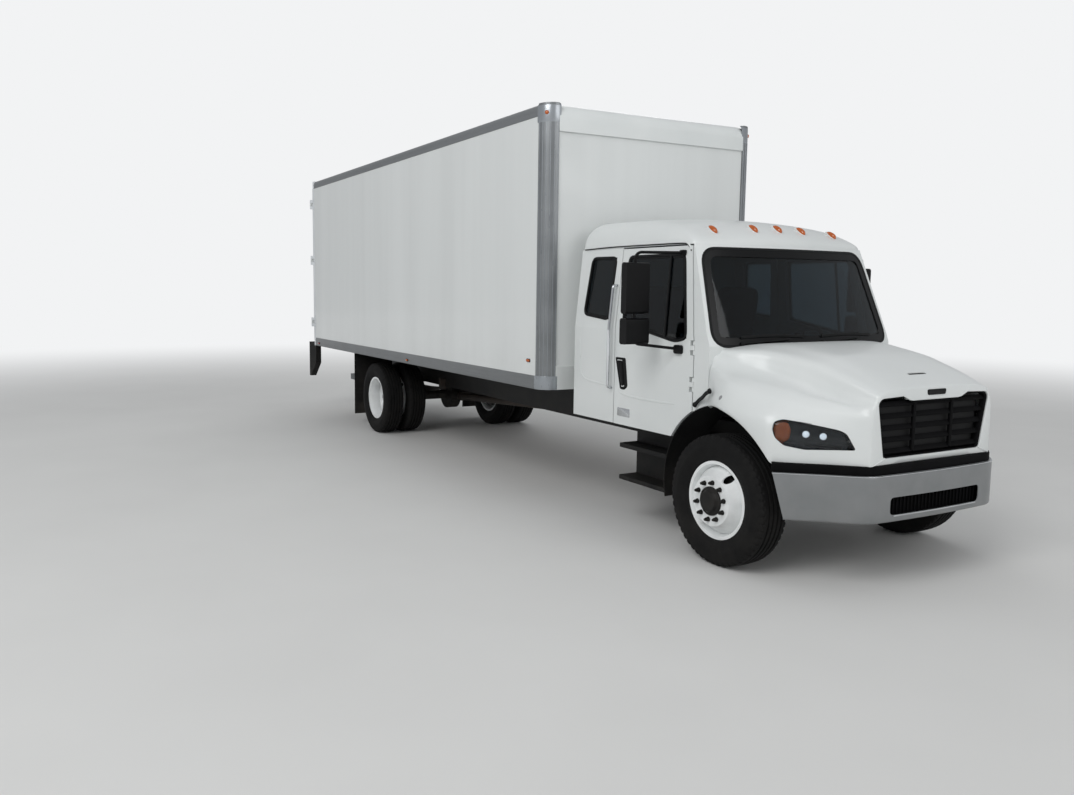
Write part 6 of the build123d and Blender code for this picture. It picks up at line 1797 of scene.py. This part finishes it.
@dataclass
class Seat:
    """A padded seat: cushion and back as crowned pillows with sewn channels, on a moulded plinth."""

    middle: float
    width: float
    name: str
    replaces: Sequence[str] = ()
    back_x: float = FRONT_X - 1.560
    channels: tuple[float, ...] = (-0.62, 0.62)

    def pillow(
        self, name: str, centre: Sequence[float], half: Sequence[float], lean: float, replaces: Sequence[str]
    ) -> None:
        """Make a squarish crowned pillow with sewn channels.

        Its form is a superellipsoid, sign(cos) |cos|^e in each direction, whose broad faces stay crowned; the
        channels are grooves 7 mm deep, Gaussian across, that run its whole length.

        Args:
            name: what it is of the seat.
            centre: the x and z of its middle.
            half: half sizes along X, Y and Z before it leans.
            lean: its lean about Y in degrees.
            replaces: CAD nodes it stands for.
        """
        channels = self.channels
        rise = np.linspace(-np.pi / 2 + 0.02, np.pi / 2 - 0.02, 49)[:, None]
        turn = np.linspace(-np.pi, np.pi, 96, endpoint=False)[None, :]
        ring = squared(rise, 0.34)
        x = half[0] * ring * squared(turn, 0.30)
        y = half[1] * ring * squared(turn - np.pi / 2, 0.30)
        z = half[2] * squared(rise - np.pi / 2, 0.62) * np.ones_like(turn)
        groove = sum(np.exp(-((y / half[1] - channel) / 0.03) ** 2) for channel in channels)
        z = z - 0.007 * np.sign(z) * groove * (np.abs(z) > half[2] * 0.5)
        turned = np.array(Matrix.Rotation(math.radians(lean), 3, "Y"))
        points = np.stack([x, y, z], -1) @ turned.T + (centre[0], self.middle, centre[1])
        name = f"{self.name}_{name}"
        pad = make_piece(name, stacked(points), SEAT_CLOTH, "chassis", "seat_fabric", replaces, 60)

    def build(self) -> None:
        """Make the cushion, the back and the plinth; the cushion replaces the CAD node."""
        back_x, half = self.back_x, self.width / 2
        self.pillow("cushion", (back_x + 0.300, 1.412), (0.250, half - 0.004, 0.078), -3, self.replaces)
        self.pillow("back", (back_x + 0.004, 1.775), (0.335, half - 0.008, 0.062), 98, ())
        side = half - 0.02
        line = rounded([(-0.02, -side), (0.50, -side), (0.50, side), (-0.02, side)], 0.05, 6)
        plinth = prism(line, ((0.94, 1.097), (0.96, 1.22), (1.0, 1.345)), 2, (back_x + 0.02, self.middle, 0))
        make_piece(f"{self.name}_plinth", plinth, BLACK_MOULDING, "chassis", "seat_fabric")


# ---------------------------------------------------------------- studio and camera


@dataclass
class Studio:
    """The pale floor, the soft light and the camera at the photograph's place."""

    floor_half: float = 60.0
    floor_colour: str = "#dcdcda"
    floor_tint: str = "#d4d4d2"
    fade_from: float = 8.0
    fade_to: float = 24.0
    background: str = "#f2f3f4"
    sky_colour: str = "#f4f6f9"
    sky_strength: float = 0.50
    # name, place, the point it faces, the side of the square, watts
    softboxes: tuple[tuple, ...] = (
        ("key_softbox", (9.0, -15.0, 13.0), (0.0, 0.0, 1.4), 10.0, 1500.0),
        ("front_softbox", (17.0, 3.0, 8.0), (1.5, 0.0, 1.2), 8.0, 420.0),
        ("rear_softbox", (-14.0, 10.0, 10.0), (-1.0, 0.0, 1.5), 9.0, 420.0),
    )
    camera_place: tuple[float, float, float] = (9.298, -5.707, 2.069)
    camera_yaw: float = 151.719
    camera_pitch: float = -6.217
    camera_roll: float = 0.465
    lens: float = 29.405
    shift: tuple[float, float] = (0.0445, -0.0120)

    def build(self) -> None:
        """Make the floor, lights, world and camera."""
        self.lay_floor()
        self.hang_lights()
        self.light_world()
        self.place_camera()
        bpy.context.scene.view_settings.view_transform = "Standard"

    def lay_floor(self) -> None:
        """Lay a plane under the wheels, pale concrete near the truck that fades into the plain background."""
        mesh = bpy.data.meshes.new("studio_floor")
        half = self.floor_half
        corners = [(-half, -half, 0), (half, -half, 0), (half, half, 0), (-half, half, 0)]
        mesh.from_pydata(corners, [], [[0, 1, 2, 3]])
        material = bpy.data.materials.new("studio_pale_concrete")
        tree = empty_tree(material)
        place = add_node(tree, "TexCoord").outputs["Object"]
        cloud = add_node(tree, "TexNoise", {"Vector": place, "Scale": 0.8, "Detail": 5.0}).outputs["Fac"]
        tones = {"Factor": cloud, 6: linear(self.floor_colour), 7: linear(self.floor_tint)}
        tone = add_node(tree, "Mix", tones, data_type="RGBA").outputs[2]
        shader = add_node(tree, "BsdfPrincipled", {"Base Color": tone, "Roughness": 0.85}).outputs[0]
        reach = add_node(tree, "VectorMath", {0: place}, operation="LENGTH").outputs["Value"]
        fade = {"Value": reach, "From Min": self.fade_from, "From Max": self.fade_to}
        fade = add_node(tree, "MapRange", fade, interpolation_type="SMOOTHSTEP").outputs["Result"]
        plain = add_node(tree, "Emission", {"Color": linear(self.background), "Strength": 1.0}).outputs[0]
        mixed = add_node(tree, "MixShader", {0: fade, 1: shader, 2: plain}).outputs[0]
        add_node(tree, "OutputMaterial", {"Surface": mixed})
        mesh.materials.append(material)
        linked("studio_floor", mesh)

    def hang_lights(self) -> None:
        """Hang the square area lights, each looking at its target."""
        for name, place, target, size, watts in self.softboxes:
            lamp = bpy.data.lights.new(name, "AREA")
            lamp.size, lamp.energy = size, watts
            holder = linked(name, lamp)
            holder.location = place
            holder.rotation_euler = (Vector(target) - Vector(place)).to_track_quat("-Z", "Y").to_euler()

    def light_world(self) -> None:
        """Light evenly from all round, and show a white background to camera and glass rays."""
        world = bpy.data.worlds.new("studio_sky")
        bpy.context.scene.world = world
        tree = empty_tree(world)
        path = add_node(tree, "LightPath").outputs
        rays = {0: path["Is Camera Ray"], 1: path["Is Transmission Ray"]}
        seen = add_node(tree, "Math", rays, operation="MAXIMUM").outputs[0]
        plain = {"Color": linear(self.sky_colour), "Strength": self.sky_strength}
        plain = add_node(tree, "Background", plain).outputs[0]
        white = add_node(tree, "Background", {"Color": linear(self.background), "Strength": 1.0}).outputs[0]
        mixed = add_node(tree, "MixShader", {0: seen, 1: plain, 2: white}).outputs[0]
        add_node(tree, "OutputWorld", {"Surface": mixed})

    def place_camera(self) -> None:
        """Stand the camera at the photograph's place, turned by yaw, pitch and roll."""
        yaw, pitch, roll = (math.radians(v) for v in (self.camera_yaw, self.camera_pitch, self.camera_roll))
        ahead = Vector((math.cos(pitch) * math.cos(yaw), math.cos(pitch) * math.sin(yaw), math.sin(pitch)))
        right = ahead.cross(Vector((0, 0, 1))).normalized()
        up = right.cross(ahead)
        turned_right = right * math.cos(roll) + up * math.sin(roll)
        turned_up = up * math.cos(roll) - right * math.sin(roll)
        lens = bpy.data.cameras.new("photo_camera")
        lens.sensor_width = 36.0
        lens.sensor_fit = "HORIZONTAL"
        lens.lens = self.lens
        lens.shift_x, lens.shift_y = self.shift
        lens.clip_end = 300.0
        camera = linked("photo_camera", lens)
        columns = (turned_right, turned_up, -ahead, Vector(self.camera_place))
        camera.matrix_world = Matrix([column.to_4d() for column in columns]).transposed()
        bpy.context.scene.camera = camera


def main() -> None:
    """Build every sub-assembly in order and report it."""
    logging.basicConfig(level=logging.INFO, format="%(name)s: %(message)s")
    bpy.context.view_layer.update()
    dress_nodes()
    for width, nodes in SKINS.items():
        for node in nodes:
            soften(node, width)
    headlamps = [Headlamp(side, word) for side, word in SIDES]
    bench = Seat(-0.400, 0.760, "passenger_seat", channels=(-0.7, 0.0, 0.7))
    seats = [Seat(0.480, 0.520, "driver_seat", ("seats",)), bench]
    trim = [FrontBumper(), Glazing(), CabRoof(), CabFittings(), CargoBody()]
    for part in (RunningGear(), Hood(), Grille(), *headlamps, *trim, *seats, Studio()):
        part.build()


if __name__ == "__main__":
    main()
